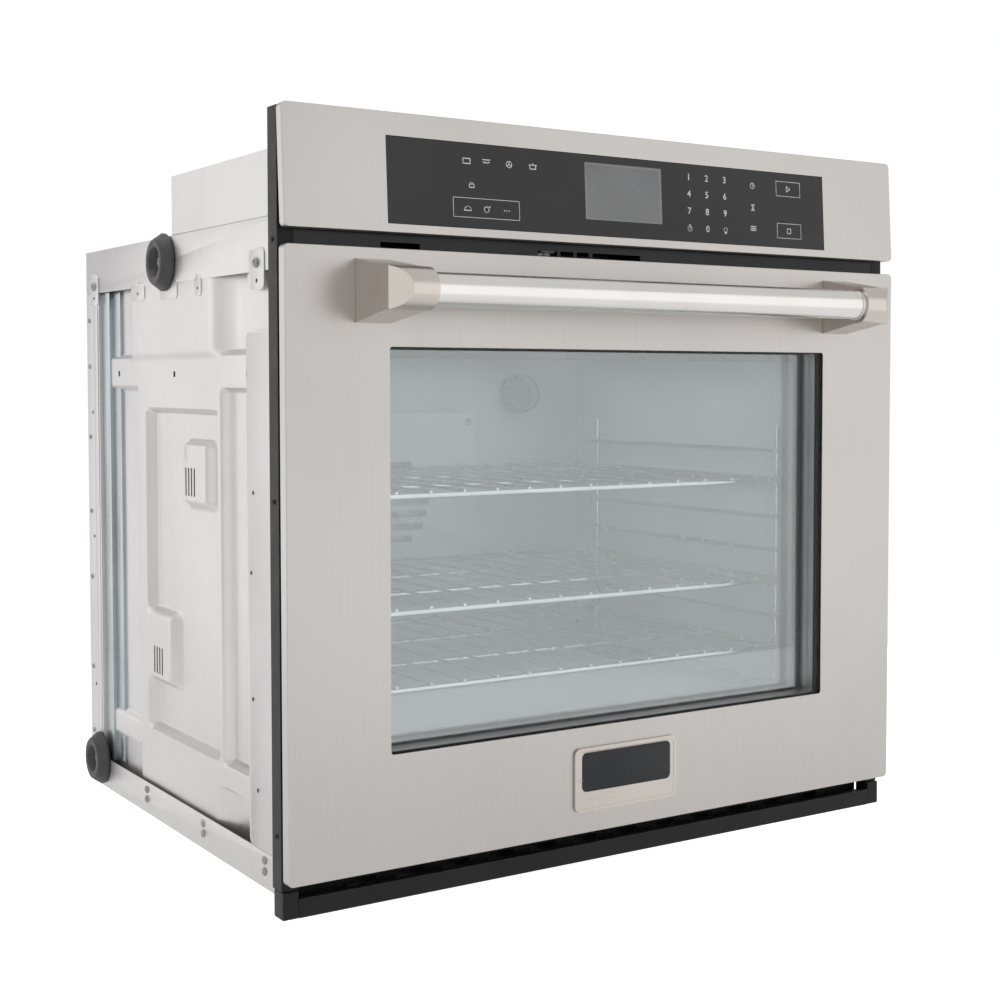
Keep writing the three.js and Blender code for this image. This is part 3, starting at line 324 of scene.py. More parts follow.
finish("black_trim", (0.009, 0.009, 0.010), (0.016, 0.016, 0.017), (0.32, 0.46), 0.0, EVEN, 1200.0, 0.5, 18.0,
       worn=(0.12, 0.12, 0.125), wear=0.5, scratched=0.15, bump=0.2, gloss=0.22)
finish("galvanised_steel", (0.63, 0.612, 0.612), (0.73, 0.71, 0.71), (0.32, 0.45), 0.9, UPRIGHT,
       200.0, 0.3, 4.0, flowers=70.0, worn=(0.86, 0.85, 0.84), wear=0.3, scratched=0.08, bump=0.03,
       depth=0.0001)
finish("bare_steel", (0.26, 0.25, 0.245), (0.42, 0.41, 0.40), (0.3, 0.5), 1.0, UPRIGHT, 500.0, 0.5, 16.0,
       worn=(0.7, 0.69, 0.67), wear=0.6, scratched=0.4, bump=0.2)
finish("spring_steel", (0.14, 0.14, 0.145), (0.27, 0.27, 0.28), (0.25, 0.42), 1.0, EVEN, 600.0, 0.5, 30.0,
       worn=(0.5, 0.5, 0.5), wear=0.5, bump=0.2)
finish("chrome_wire", (0.50, 0.50, 0.48), (0.64, 0.64, 0.62), (0.16, 0.30), 1.0, EVEN, 400.0, 0.4, 25.0,
       worn=(0.9, 0.88, 0.84), wear=0.2, scratched=0.2, bump=0.08)
finish("element_sheath", (0.055, 0.050, 0.047), (0.14, 0.125, 0.115), (0.45, 0.65), 0.5, EVEN,
       700.0, 0.5, 30.0, worn=(0.3, 0.26, 0.22), wear=0.4, bump=0.4)
finish("fibre", (0.50, 0.46, 0.34), (0.78, 0.74, 0.60), (0.85, 0.98), 0.0, (1, 1, 1.6), 900.0, 0.7, 40.0,
       worn=(0.85, 0.82, 0.7), wear=0.3, scratched=0.6, bump=0.9, depth=0.0008)
finish("ceramic_white", (0.70, 0.69, 0.65), (0.84, 0.83, 0.80), (0.4, 0.6), 0.0, EVEN, 300.0, 0.4, 30.0,
       worn=(0.9, 0.9, 0.88), wear=0.3, bump=0.15)
finish("moulded_plastic", (0.62, 0.61, 0.57), (0.76, 0.75, 0.71), (0.35, 0.5), 0.0, EVEN, 1500.0, 0.5, 30.0,
       worn=(0.85, 0.84, 0.8), wear=0.3, bump=0.2)
finish("rubber", (0.030, 0.029, 0.030), (0.050, 0.049, 0.050), (0.38, 0.55), 0.0, EVEN, 900.0, 0.5, 40.0,
       worn=(0.09, 0.09, 0.09), wear=0.4, scratched=0.2, bump=0.3)
CAVITY_ENAMEL = finish(
    "cavity_enamel", (0.225, 0.248, 0.258), (0.240, 0.264, 0.274), (0.4, 0.5), 0.0, EVEN, 700.0, 0.05, 6.0,
    worn=(0.3, 0.32, 0.33), wear=0.2, scratched=0.02, bump=0.002)
BAR_SATIN = finish(
    "bar_satin", (0.76, 0.735, 0.705), (0.82, 0.80, 0.775), (0.19, 0.24), 1.0, ALONG, 800.0, 0.2, 9.0,
    worn=(0.85, 0.82, 0.78), wear=0.02, scratched=0.0, bump=0.006, depth=0.00005)
print("finishes", len(FINISHES))


# %% Glass
def glass(name, colour, rough, bending):
    made, tree, shader = start_material(name)
    shader["Transmission Weight"].default_value = 1.0
    shader["IOR"].default_value = bending
    smear = use(tree, "clouds", scale=7.0)["Smear"]
    light = tuple(min(1, v * 1.02) for v in colour)
    link(tree, blend_colours(tree, smear, colour, light), shader["Base Color"])
    link(tree, spread(tree, smear, 0, 1, *rough), shader["Roughness"])
    return made


glass("clear_glass", (0.97, 0.98, 0.982), (0.0, 0.012), 1.22)
COATED_GLASS = glass("coated_glass", (0.93, 0.972, 0.985), (0.0, 0.015), 2.45)
print("glass made")

# %% [markdown]
# The model's solids have razor-sharp edges, and real folded or moulded parts never do: the light
# line along an edge tells the eye what a thing is made of. A carried-over part is therefore
# copied, its flat faces are merged back into single faces, and its sharp edges get a small
# rounding. A test on the edge's place picks the outer folds that take a larger radius.

# %% Turning a solid into a finished piece
def mesh_of(name, build):
    mesh = bpy.data.meshes.new(name)
    build.to_mesh(mesh)
    build.free()
    return mesh


def finished(name, mesh, slot, node_names=(), body="chassis", material=None, angle=40.0):
    mesh.polygons.foreach_set("use_smooth", [True] * len(mesh.polygons))
    mesh.set_sharp_from_angle(angle=math.radians(angle))
    mesh.materials.clear()
    mesh.materials.append(material or FINISHES[slot])
    piece = new_object(name, mesh)
    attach(piece, body)
    if node_names:
        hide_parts(*node_names)
    return piece


def weighted(piece):
    piece.modifiers.new("even_shading", "WEIGHTED_NORMAL").keep_sharp = True
    return piece


def bevelled(build, edges, offset, segments):
    bmesh.ops.bevel(build, geom=edges, offset=offset, segments=segments, profile=0.5, affect="EDGES",
                    clamp_overlap=True)


def softened(source, radius=0.3, steps=2, material=None, fold=None, fold_radius=0.0, least=35.0):
    build = bmesh.new()
    build.from_mesh(frame["nodes"][source].data)
    bmesh.ops.remove_doubles(build, verts=build.verts, dist=1e-6)
    bmesh.ops.dissolve_limit(build, angle_limit=math.radians(0.6), verts=build.verts, edges=build.edges,
                             delimit=set())

    def sharp():
        limit = math.radians(least)
        return [e for e in build.edges if len(e.link_faces) == 2 and e.calc_face_angle(0) > limit]

    if fold:
        bevelled(build, [e for e in sharp() if fold(*(v.co for v in e.verts))], fold_radius * MM, 4)
    bevelled(build, sharp(), radius * MM, steps)
    mesh = mesh_of(source + "_rounded", build)
    slot, body = slot_of_node[source], body_of_node[source]
    return weighted(finished(source + "_finished", mesh, slot, [source], body, material))


print("cad nodes", len(slot_of_node))

# %% [markdown]
# Many of the oven's parts are bent wire, tube or turned metal. Three small makers cover them: a
# round bar swept along a path with bent corners, a turned profile, and a screw with a domed head
# and a cross recess. Each adds its faces to one mesh, so a rack with all its wires is one piece,
# as the welded rack is.

# %% Bars along a path
def bent(points, radius, closed=False, steps=5):
    path, count = [], len(points)
    for i, point in enumerate(points):
        here = Vector(point)
        if not closed and i in (0, count - 1):
            path.append(here)
            continue
        before, after = Vector(points[i - 1]) - here, Vector(points[(i + 1) % count]) - here
        half = before.angle(after) / 2
        back_off = min(radius / math.tan(half), before.length * 0.48, after.length * 0.48)
        first, last = here + before.normalized() * back_off, here + after.normalized() * back_off
        for k in range(steps + 1):
            t = k / steps
            path.append((1 - t) ** 2 * first + 2 * t * (1 - t) * here + t * t * last)
    return path


def bar(build, path, radius, sides=10, closed=False):
    path = [Vector(point) for point in path]
    count = len(path)
    rings, normal = [], None
    for i, point in enumerate(path):
        ahead_point = path[(i + 1) % count] if closed or i < count - 1 else point
        behind_point = path[i - 1] if closed or i > 0 else point
        along = (ahead_point - behind_point).normalized()
        if normal is None:
            normal = along.orthogonal().normalized()
        normal = (normal - along * normal.dot(along)).normalized()
        side = along.cross(normal)
        rings.append([build.verts.new(point + (normal * math.cos(a) + side * math.sin(a)) * radius)
                      for a in (math.tau * k / sides for k in range(sides))])
    for i in range(count if closed else count - 1):
        one, two = rings[i], rings[(i + 1) % count]
        shift = 0
        if closed and i == count - 1:
            shift = min(range(sides), key=lambda s: (one[0].co - two[s].co).length)
        for k in range(sides):
            n = k + 1
            build.faces.new((one[k], one[n % sides], two[(n + shift) % sides], two[(k + shift) % sides]))
    if not closed:
        build.faces.new(rings[0][::-1])
        build.faces.new(rings[-1])


# %% Turned pieces and screws
def turned(build, profile, centre, axis, steps=32, recess=0.0):
    turn = Vector(axis).to_track_quat("Z", "Y").to_matrix()
    rings = []
    for radius, rise in profile:
        if radius < 1e-7:
            rings.append([build.verts.new(Vector(centre) + turn @ Vector((0, 0, rise)))])
            continue
        ring = []
        for k in range(steps):
            a = math.tau * k / steps
            x, y = radius * math.cos(a), radius * math.sin(a)
            arm = recess and min(abs(x), abs(y)) < recess * 0.24 and max(abs(x), abs(y)) < recess
            depth = recess * 0.45 if arm else 0
            ring.append(build.verts.new(Vector(centre) + turn @ Vector((x, y, rise - depth))))
        rings.append(ring)
    for one, two in zip(rings, rings[1:]):
        for k in range(steps):
            n = (k + 1) % steps
            if len(one) == 1:
                build.faces.new((one[0], two[n], two[k]))
            elif len(two) == 1:
                build.faces.new((one[k], one[n], two[0]))
            else:
                build.faces.new((one[k], one[n], two[n], two[k]))


def head(build, at, axis, radius, shares, steps, recess=0.0):
    r = radius * MM
    turned(build, [(a * r, b * r) for a, b in shares], at, axis, steps, recess * r)


def screw(build, at, axis, radius=4.0):
    shares = ((0, 0), (1, 0), (1, 0.18), (0.92, 0.42), (0.72, 0.58), (0.5, 0.66),
              (0.36, 0.69), (0.22, 0.71), (0.1, 0.72), (0, 0.38))
    head(build, at, axis, radius, shares, 32, 0.6)


def rivet(build, at, axis, radius=4.5):
    shares = ((0, 0), (1, 0), (1, 0.12), (0.9, 0.3), (0.6, 0.48), (0.25, 0.55), (0, 0.56))
    head(build, at, axis, radius, shares, 20)


def piece_of(name, build, slot, *rest, **more):
    bmesh.ops.recalc_face_normals(build, faces=build.faces)
    return finished(name, mesh_of(name, build), slot, *rest, **more)


# %% [markdown]
# Flat strips and pads of sheet metal are laid on the box and on the control glass. A plate starts
# as an outline of points in its own plane, is given its thickness, and has its edges rounded. The
# plane is a matrix, so the same maker serves a side wall, the leaning panel and the door.

# %% Plates from an outline
def circle_point(cx, cy, radius, degrees):
    angle = math.radians(degrees)
    return cx + radius * math.cos(angle), cy + radius * math.sin(angle)


def rounded_rectangle(x0, x1, y0, y1, radius, steps=5):
    left, right_x, low_y, high_y = x0 + radius, x1 - radius, y0 + radius, y1 - radius
    corners = ((right_x, low_y, -90), (right_x, high_y, 0), (left, high_y, 90), (left, low_y, 180))
    return [circle_point(cx, cy, radius, start + 90 * k / steps)
            for cx, cy, start in corners for k in range(steps + 1)]


def plate(build, plane, outline, thick, edge=0.3, low=0.0):
    part = bmesh.new()
    bottom = [part.verts.new((x * MM, y * MM, low * MM)) for x, y in outline]
    top = [part.verts.new((x * MM, y * MM, (low + thick) * MM)) for x, y in outline]
    part.faces.new(bottom[::-1])
    part.faces.new(top)
    for k in range(len(outline)):
        n = (k + 1) % len(outline)
        part.faces.new((bottom[k], bottom[n], top[n], top[k]))
    if edge:
        middle = (low + thick / 2) * MM
        rim = [e for e in part.edges if all(v.co.z > middle for v in e.verts)]
        bevelled(part, rim, edge * MM, 2)
    part.transform(plane)
    if plane.determinant() < 0:
        bmesh.ops.reverse_faces(part, faces=part.faces)
    mesh = mesh_of("part", part)
    build.from_mesh(mesh)
    bpy.data.meshes.remove(mesh)


def four_strips(build, plane, outer, inner, thick, edge, gap=0.0):
    (x0, x1, z0, z1), (u0, u1, w0, w1) = outer, inner
    strips = ((x0, u0, z0, z1), (u1, x1, z0, z1), (u0 + gap, u1 - gap, z0, w0), (u0 + gap, u1 - gap, w1, z1))
    for a, b, c, d in strips:
        plate(build, plane, [(a, c), (b, c), (b, d), (a, d)], thick, edge)


def wall_plane(y, z=0.0, across=1, out=-1):
    return Matrix(((across, 0, 0, 0), (0, 0, out, y), (0, 1, 0, z), (0, 0, 0, 1)))


print("makers ready")

# %% [markdown]
# The door's skin is one folded sheet with a window cut in it. Its outer folds take a radius of
# just under a millimetre, and the cut edges stay nearly sharp. The control panel's skin is folded
# with a larger radius, and leans back a little.

# %% Folded skins
skin_low, skin_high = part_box("door_skin")
panel_low, panel_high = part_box("panel_skin")
CORNER = 6 * MM


def on_outline(points, side, low, high, reach):
    across = all(abs(abs(x) - side) < reach for x, _ in points)
    along = all(y < low + reach for _, y in points) or all(y > high - reach for _, y in points)
    corner = all(abs(x) > side - CORNER and (y < low + CORNER or y > high - CORNER) for x, y in points)
    return across or along or corner


def front_fold(*ends):
    on_face = all(v.y < skin_low.y + 0.1 * MM for v in ends)
    return on_face and on_outline([(v.x, v.z) for v in ends], skin_high.x, skin_low.z, skin_high.z, 0.1 * MM)


LEAN = math.atan(6.3 / 112)
panel_foot = Matrix.Translation((0, panel_low.y, panel_low.z + 0.6 * MM))
panel_plane = panel_foot @ Matrix.Rotation(-LEAN, 4, "X") @ wall_plane(0)
panel_inverse = panel_plane.inverted()
panel_top = max((panel_inverse @ v.co).y for v in frame["nodes"]["panel_skin"].data.vertices)


def panel_fold(*ends):
    local = [panel_inverse @ v for v in ends]
    on_face = all(abs(v.z) < 0.15 * MM for v in local)
    return on_face and on_outline([(v.x, v.y) for v in local], panel_high.x, 0, panel_top, 0.1 * MM)


softened("door_skin", 0.2, fold=front_fold, fold_radius=0.9)
softened("panel_skin", 0.25, fold=panel_fold, fold_radius=1.4)
print("skins", [round(v / MM) for v in skin_high - skin_low])

# %% [markdown]
# The handle is a satin tube held in two cast arms. The arms keep their solid shape and get soft
# cast edges. The tube is turned again with more sides and with eased ends, because a long bright
# bar shows every facet in its highlight.

# %% Handle
for side, _ in SIDES:
    softened("handle_bracket_" + side, 1.1, 3, least=28)
bar_low, bar_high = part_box("handle_bar")
build = bmesh.new()
bar_radius, bar_half = (bar_high.z - bar_low.z) / 2, bar_high.x
bar_axis = ((bar_low.y + bar_high.y) / 2, (bar_low.z + bar_high.z) / 2)
turned(build, [(0, -bar_half), (bar_radius - MM, -bar_half), (bar_radius, -bar_half + MM), (bar_radius, 0),
               (bar_radius, bar_half - MM), (bar_radius - MM, bar_half), (0, bar_half)],
       (0, *bar_axis), (1, 0, 0), 72)
collar = [(bar_radius + more * MM, along * MM)
          for more, along in ((-0.2, -1.6), (1.1, -1.2), (1.3, 0), (1.1, 1.2), (-0.2, 1.6))]
for _, sign in SIDES:
    mouth = sign * (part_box("handle_bracket_right")[0].x + 0.3 * MM)
    turned(build, collar, (mouth - sign * 1.2 * MM, *bar_axis), (1, 0, 0), 72)
piece_of("handle_tube", build, "satin_nickel", ["handle_bar"], "door", BAR_SATIN)
print("handle tube", round(2 * bar_half / MM), "mm long")

# %% [markdown]
# The plate under the window is a plain nameplate with nothing on it: a satin rim around a black
# enamelled field, held by two small pins. It is kept blank on purpose.

# %% Blank nameplate
softened("badge_plate", 0.5, 3)
plate_low, plate_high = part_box("badge_plate")
field_y = plate_low.y + 0.8 * MM
plate_plane = wall_plane(field_y, z=plate_low.z)
wide, tall = plate_high.x / MM, (plate_high.z - plate_low.z) / MM
build = bmesh.new()
plate(build, plate_plane, rounded_rectangle(-wide + 9, wide - 9, 21, tall - 5, 5), 0.6, 0.25, low=0.02)
piece_of("nameplate_field", build, "black_trim", (), "door", FINISHES["black_enamel"])
build = bmesh.new()
for x in (-wide + 7.5, wide - 7.5):
    turned(build, [(0, 0), (0.0016, 0), (0.0016, 0.0003), (0.0011, 0.0007), (0, 0.0009)],
           (x * MM, field_y, plate_low.z + tall / 2 * MM), (0, -1, 0), 20)
plate(build, plate_plane, rounded_rectangle(-wide + 18, wide - 18, 12.5, 14, 0.6), 0.3, 0.1, low=0.02)
piece_of("nameplate_pins", build, "satin_nickel", (), "door")
print("nameplate", round(2 * wide), "x", round(tall), "mm")

# %% [markdown]
# The window has three panes: a printed outer pane behind the skin, a middle pane that traps air,
# and the pane that faces the oven. The two inner panes are coated to keep the heat in, so they
# mirror more light than plain glass. A black printed border hides the seal, so the outer pane
# gets a thin black frame on its back, and a folded zinc spacer keeps the inner panes apart.

# %% Window
for pane, look in (("outer_glass", None), ("middle_glass", COATED_GLASS), ("inner_glass", COATED_GLASS)):
    softened(pane, 0.4, 2, look)
softened("door_liner")
glass_low, glass_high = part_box("outer_glass")
tunnel_low, tunnel_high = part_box("middle_glass")


def opening(margin):
    return (tunnel_low.x / MM + margin, tunnel_high.x / MM - margin,
            tunnel_low.z / MM + margin, tunnel_high.z / MM - margin)


build = bmesh.new()
whole_pane = tuple(v / MM for v in (glass_low.x, glass_high.x, glass_low.z, glass_high.z))
four_strips(build, wall_plane(glass_high.y + 0.15 * MM, out=1), whole_pane, opening(3), 0.12, 0)
piece_of("window_print", build, "black_trim", (), "door", FINISHES["black_enamel"])
build = bmesh.new()
near, far = tunnel_low.y / MM - 8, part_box("inner_glass")[0].y / MM - 0.5
four_strips(build, wall_plane(far * MM), opening(0.3), opening(1.5), far - near, 0.2, gap=0.1)
piece_of("pane_spacer", build, "galvanised_steel", (), "door")
print("window", [round(v / MM) for v in glass_high - glass_low])

# %% [markdown]
# The control glass carries printed marks: numbers, and small drawn signs for the cooking modes,
# timers, lamp, start and stop. They are printed ink, so each is a thin raised ribbon a tenth of a
# millimetre high. The signs are plain line drawings of this lesson's own.

# %% Ink for the marks
ink, ink_tree, ink_shader = start_material("printed_ink")
ink_cloud = use(ink_tree, "clouds", scale=90.0)
ink_colour = blend_colours(ink_tree, ink_cloud["Cloud"], (0.58, 0.58, 0.58), (0.74, 0.74, 0.74))
link(ink_tree, ink_colour, ink_shader["Base Color"])
link(ink_tree, spread(ink_tree, ink_cloud["Smear"], 0, 1, 0.45, 0.6), ink_shader["Roughness"])
glass_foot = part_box("control_glass")[0]
glass_face = (panel_inverse @ Vector((0, glass_foot.y, glass_foot.z))).z / MM
STROKE, INK = 0.85, 0.1


def stroke(build, points, width=STROKE):
    points = [Vector(p) for p in points]
    for a, b in zip(points, points[1:]):
        along = (b - a).normalized() * width / 2
        across = Vector((-along.y, along.x))
        corners = (a - along - across, b + along - across, b + along + across, a - along + across)
        plate(build, panel_plane, [tuple(c) for c in corners], INK, 0, low=glass_face + 0.02)


def arc(cx, cy, r, start, end, steps=14):
    return [circle_point(cx, cy, r, start + (end - start) * k / steps) for k in range(steps + 1)]


def boxed(x0, x1, y0, y1):
    return [(x0, y0), (x1, y0), (x1, y1), (x0, y1), (x0, y0)]


SIGNS = {
    "bake": [[(-4, -2.4), (4, -2.4)], [(-4, 2.4), (4, 2.4), (4, -0.9)], [(-4, 2.4), (-4, -0.9)]],
    "broil": [[(-4, 2.6), (4, 2.6)], [(-3.4, 0.6), (-1.7, -0.9), (0, 0.6), (1.7, -0.9), (3.4, 0.6)]],
    "fan": [arc(0, 0, 3.1, 0, 345), [(0, 0), (0, 2.2)], [(0, 0), (-1.9, -1.1)], [(0, 0), (1.9, -1.1)]],
    "pot": [[(-3.4, 1.2), (-3.4, -2.4), (3.4, -2.4), (3.4, 1.2)], [(-4.2, 1.4), (4.2, 1.4)],
            [(0, 1.4), (0, 2.8)]],
    "lock": [boxed(-2.6, 2.6, -2.6, 0.6), arc(0, 0.7, 1.7, 0, 180)],
    "loaf": [[(-3.6, -2), (3.6, -2)], arc(0, -1.6, 3.6, 5, 175)],
    "roast": [arc(0, 0, 2.7, 0, 345), [(2.2, 1.6), (4, 3.1)]],
    "dots": [[(-3, 0), (-2.6, 0)], [(-0.2, 0), (0.2, 0)], [(2.6, 0), (3, 0)]],
    "clock": [arc(0, 0, 2.9, 90, 435, 18), [(0, 0), (0, 1.9)], [(0, 0), (1.4, 0)]],
    "bulb": [arc(0, 0.8, 2.2, -50, 230), [(-1.1, -2), (1.1, -2)], [(-0.8, -3), (0.8, -3)]],
    "timer": [arc(0, -0.4, 2.7, 90, 435, 18), [(0, -0.4), (1.3, 1)], [(-0.8, 3.4), (0.8, 3.4)]],
    "glass": [[(-2, 3), (2, 3), (-2, -3), (2, -3), (-2, 3)]],
    "sliders": [[(-3.6, 2), (3.6, 2)], [(-3.6, 0), (3.6, 0)], [(-3.6, -2), (3.6, -2)],
                [(-1.6, 2.7), (-1.6, 1.3)], [(1.4, 0.7), (1.4, -0.7)], [(-0.4, -1.3), (-0.4, -2.7)]],
    "start": [[(-2.2, -3), (-2.2, 3), (3, 0), (-2.2, -3)]],
    "stop": [boxed(-2.6, 2.6, -2.6, 2.6)],
}
COLUMNS, ROWS = (83.5, 107.5, 132), (76, 58.5, 40.5, 22.5)
PLACES = [
    ("bake", -187, 72.5), ("broil", -165, 72.5), ("fan", -139, 72.5), ("pot", -111.5, 72.5),
    ("lock", -182, 50), ("loaf", -187, 27), ("roast", -166, 27), ("dots", -143, 27),
    ("timer", COLUMNS[0], ROWS[3]), ("bulb", COLUMNS[2], ROWS[3]), ("clock", 171, 73),
    ("glass", 171, 49.5), ("sliders", 171, 27), ("start", 222, 72.5), ("stop", 222, 26.5),
]
build = bmesh.new()
for sign, x, y in PLACES:
    for line in SIGNS[sign]:
        stroke(build, [(x + px, y + py) for px, py in line])
for limits in ((-203, -128.5, 18.5, 37), (205, 239.5, 64.5, 80.5), (205, 239.5, 18.5, 34.5)):
    stroke(build, boxed(*limits), width=0.5)
piece_of("printed_signs", build, "control_glass", material=ink)
print("signs", len(PLACES))

# %% Numbers
DIGIT_SIZE, DIGIT_WEIGHT = 9.6 * MM, 0.08 * MM
numbers = bmesh.new()
for digit in range(10):
    row, column = divmod(digit - 1, 3) if digit else (3, 1)
    text = bpy.data.curves.new("digit", "FONT")
    text.body, text.size, text.offset = str(digit), DIGIT_SIZE, DIGIT_WEIGHT
    text.extrude, text.resolution_u = INK / 2 * MM, 4
    text.align_x, text.align_y = "CENTER", "CENTER"
    holder = new_object("digit", text)
    bpy.context.view_layer.update()
    mesh = bpy.data.meshes.new_from_object(holder.evaluated_get(bpy.context.evaluated_depsgraph_get()))
    at = Vector((COLUMNS[column], ROWS[row], glass_face + 0.02 + INK / 2)) * MM
    mesh.transform(panel_plane @ Matrix.Translation(at))
    numbers.from_mesh(mesh)
    bpy.data.objects.remove(holder)
    bpy.data.curves.remove(text)
    bpy.data.meshes.remove(mesh)
bmesh.ops.remove_doubles(numbers, verts=numbers.verts, dist=1e-7)
piece_of("printed_numbers", numbers, "control_glass", material=ink)
print("numbers 0 to 9")

# %% [markdown]
# The screen is a grey panel bonded behind the touch glass. Seen switched off it is a lighter grey
# field with a narrow paler border, so it is laid on the glass as two thin sheets.

# %% Screen
screen_grey = finish(
    "screen_grey", (0.150, 0.152, 0.156), (0.190, 0.192, 0.196), (0.16, 0.28), 0.0, EVEN, 500.0, 0.2, 14.0,
    worn=(0.25, 0.25, 0.25), wear=0.1, scratched=0.02, bump=0.01, coat=0.2)
screen_border = finish(
    "screen_border", (0.19, 0.19, 0.195), (0.24, 0.24, 0.245), (0.2, 0.3), 0.0, EVEN, 500.0, 0.2, 14.0,
    worn=(0.3, 0.3, 0.3), wear=0.1, scratched=0.02, bump=0.01)
softened("control_glass", 0.4)
softened("display_board")
for name, limits, low, look in (("screen_edge", (-49.5, 47, 24.5, 82), 0.02, screen_border),
                                ("screen_field", (-47.2, 43.6, 26, 79.5), 0.1, screen_grey)):
    build = bmesh.new()
    plate(build, panel_plane, rounded_rectangle(*limits, 0.8), 0.12, 0.05, low=glass_face + low)
    piece_of(name, build, "circuit_board", material=look)
print("screen made")

# %% [markdown]
# Behind the door sits the front frame with its hollow crossbar, the black side trims, the bottom
# vent trim and the two end blocks. They are folded or moulded, so their edges are only eased. The
# gasket is a fat woven glass-fibre bead, so it gets a rounding almost as large as the bead.

# %% Frame, trims and latch
def soften_all(table):
    for radius, names in table:
        for part in names.split():
            softened(part, radius)


PAIRS = ((0.5, "side_trim"), (0.9, "end_block"), (0.1, "hinge_arm"), (0.2, "hinge_channel"),
         (0.2, "hinge_rod"))
soften_all((radius, f"{stem}_left {stem}_right") for radius, stem in PAIRS)
soften_all(((0.3, "front_frame control_tray vent_trim latch_hook"), (0.8, "latch_motor"),
            (0.6, "door_switch"), (0.4, "switch_plunger")))
softened("door_gasket", 2.6, 4)
print("front parts eased")

# %% [markdown]
# The hinge spring is a close coil around its rod. It is swept along a helix inside the space that
# the model keeps for it.

# %% Hinge springs
TURNS, FACETS = 22, 14


def coil(name, source, wire):
    low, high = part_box(source)
    centre, radius = (low + high) / 2, (high.x - low.x) / 2 - wire
    path, steps = [], TURNS * FACETS
    for k in range(steps + 1):
        angle = math.tau * k / FACETS
        rise = low.z + wire + (high.z - low.z - 2 * wire) * k / steps
        path.append((centre.x + radius * math.cos(angle), centre.y + radius * math.sin(angle), rise))
    build = bmesh.new()
    bar(build, path, wire, 6)
    return piece_of(name, build, "spring_steel", [source], "door")


for side, _ in SIDES:
    spring = coil(f"spring_coil_{side}", f"hinge_spring_{side}", 1 * MM)
    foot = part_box(f"hinge_spring_{side}")[0]
    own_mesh(spring)
print("springs coiled")

# %% [markdown]
# The cavity is a grey-blue enamelled box. Its ladders, racks and heating elements are round bars,
# which the model keeps as square ones. Here they are swept round bars with bent corners, so each
# takes the thin bright line that a plated wire shows.

# %% Cavity walls
softened("cavity_liner", 0.6, material=CAVITY_ENAMEL)
softened("fan_cover", 0.5, material=CAVITY_ENAMEL)
soften_all(((3, "insulation"), (0.6, "fan_motor"), (0.2, "convection_fan"), (0.5, "oven_lamp"),
            (1.2, "lamp_lens")))


# %% Racks
RACK_WIRES = 14
WIRE_END = ((0, -2), (1.6, -2), (1.84, -0.3), (1.6, 0.6), (0.8, 1.1), (0, 1.2))


def rack(name, source, body):
    low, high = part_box(source)
    ring, wire, z = 3 * MM, 1.6 * MM, low.z + 3 * MM
    build = bmesh.new()
    left, right_x, front, back = low.x + ring, high.x - ring, low.y + ring, high.y - ring
    border = [(left, front, z), (right_x, front, z), (right_x, back, z), (left, back, z)]
    bar(build, bent(border, 14 * MM, closed=True), ring, 12, closed=True)
    for share in (1 / 3, 2 / 3):
        y, under = low.y + (high.y - low.y) * share, z - 0.6 * MM
        bar(build, [(left, y, under), (right_x, y, under)], 2.4 * MM, 10)
    top, near, far = high.z - wire, low.y + 1.2 * MM, high.y - 1.2 * MM
    for k in range(1, RACK_WIRES + 1):
        x = left + (right_x - left) * k / (RACK_WIRES + 1)
        bar(build, [(x, near, top), (x, far, top)], wire, 8)
        for y, way in ((near, -1), (far, 1)):
            turned(build, [(r * MM, rise * MM) for r, rise in WIRE_END], (x, y, top), (0, way, 0), 10)
    return piece_of(name, build, "chrome_wire", [source], body)


for level in ("lower", "middle", "top"):
    rack(f"wire_rack_{level}", f"rack_{level}", f"{level}_rack")
print("racks made")

# %% Rack ladders
RUNGS, PITCH, FIRST = 8, 39.3, 6.2
for side, sign in SIDES:
    low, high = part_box(f"rack_guide_{side}")
    wall, inner = (high.x, low.x) if sign > 0 else (low.x, high.x)
    thick = 2.5 * MM
    post, rung = wall - sign * thick, inner + sign * thick
    build = bmesh.new()
    for y in (low.y + 30 * MM, high.y - 30 * MM):
        bar(build, [(post, y, low.z), (post, y, high.z)], thick, 12)
    for level in range(RUNGS):
        z = low.z + (FIRST + PITCH * level) * MM
        ends = [(post, low.y + 30 * MM, z), (rung, low.y + 18 * MM, z),
                (rung, high.y - 18 * MM, z), (post, high.y - 30 * MM, z)]
        bar(build, bent(ends, 6 * MM), thick, 12)
    piece_of(f"rack_ladder_{side}", build, "chrome_wire", [f"rack_guide_{side}"])
print("ladders made")


# %% Heating elements
def folded_element(name, source):
    low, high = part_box(source)
    tube, z = (high.z - low.z) / 2, (low.z + high.z) / 2
    wide, front, end = high.x - tube, low.y + tube, high.y
    inner = [v.co.y for v in frame["nodes"][source].data.vertices if abs(v.co.x) < wide - 10 * MM]
    back, rows = max(inner) - tube, 5
    points = [(-wide, end, z), (-wide, front, z)]
    for i in range(1, rows):
        x = -wide + 2 * wide * i / rows
        near, far = (front, back) if i % 2 else (back, front)
        points += [(x, near, z), (x, far, z)]
    points += [(wide, front, z), (wide, end, z)]
    build = bmesh.new()
    bar(build, bent(points, 28 * MM, steps=8), tube, 12)
    sleeve = [(0, 0), (5 * MM, 0), (5 * MM, 5 * MM), (tube, 6.5 * MM), (0, 6.5 * MM)]
    for x in (-wide, wide):
        turned(build, sleeve, (x, end - 1 * MM, z), (0, 1, 0), 20)
    return piece_of(name, build, "element_sheath", [source])


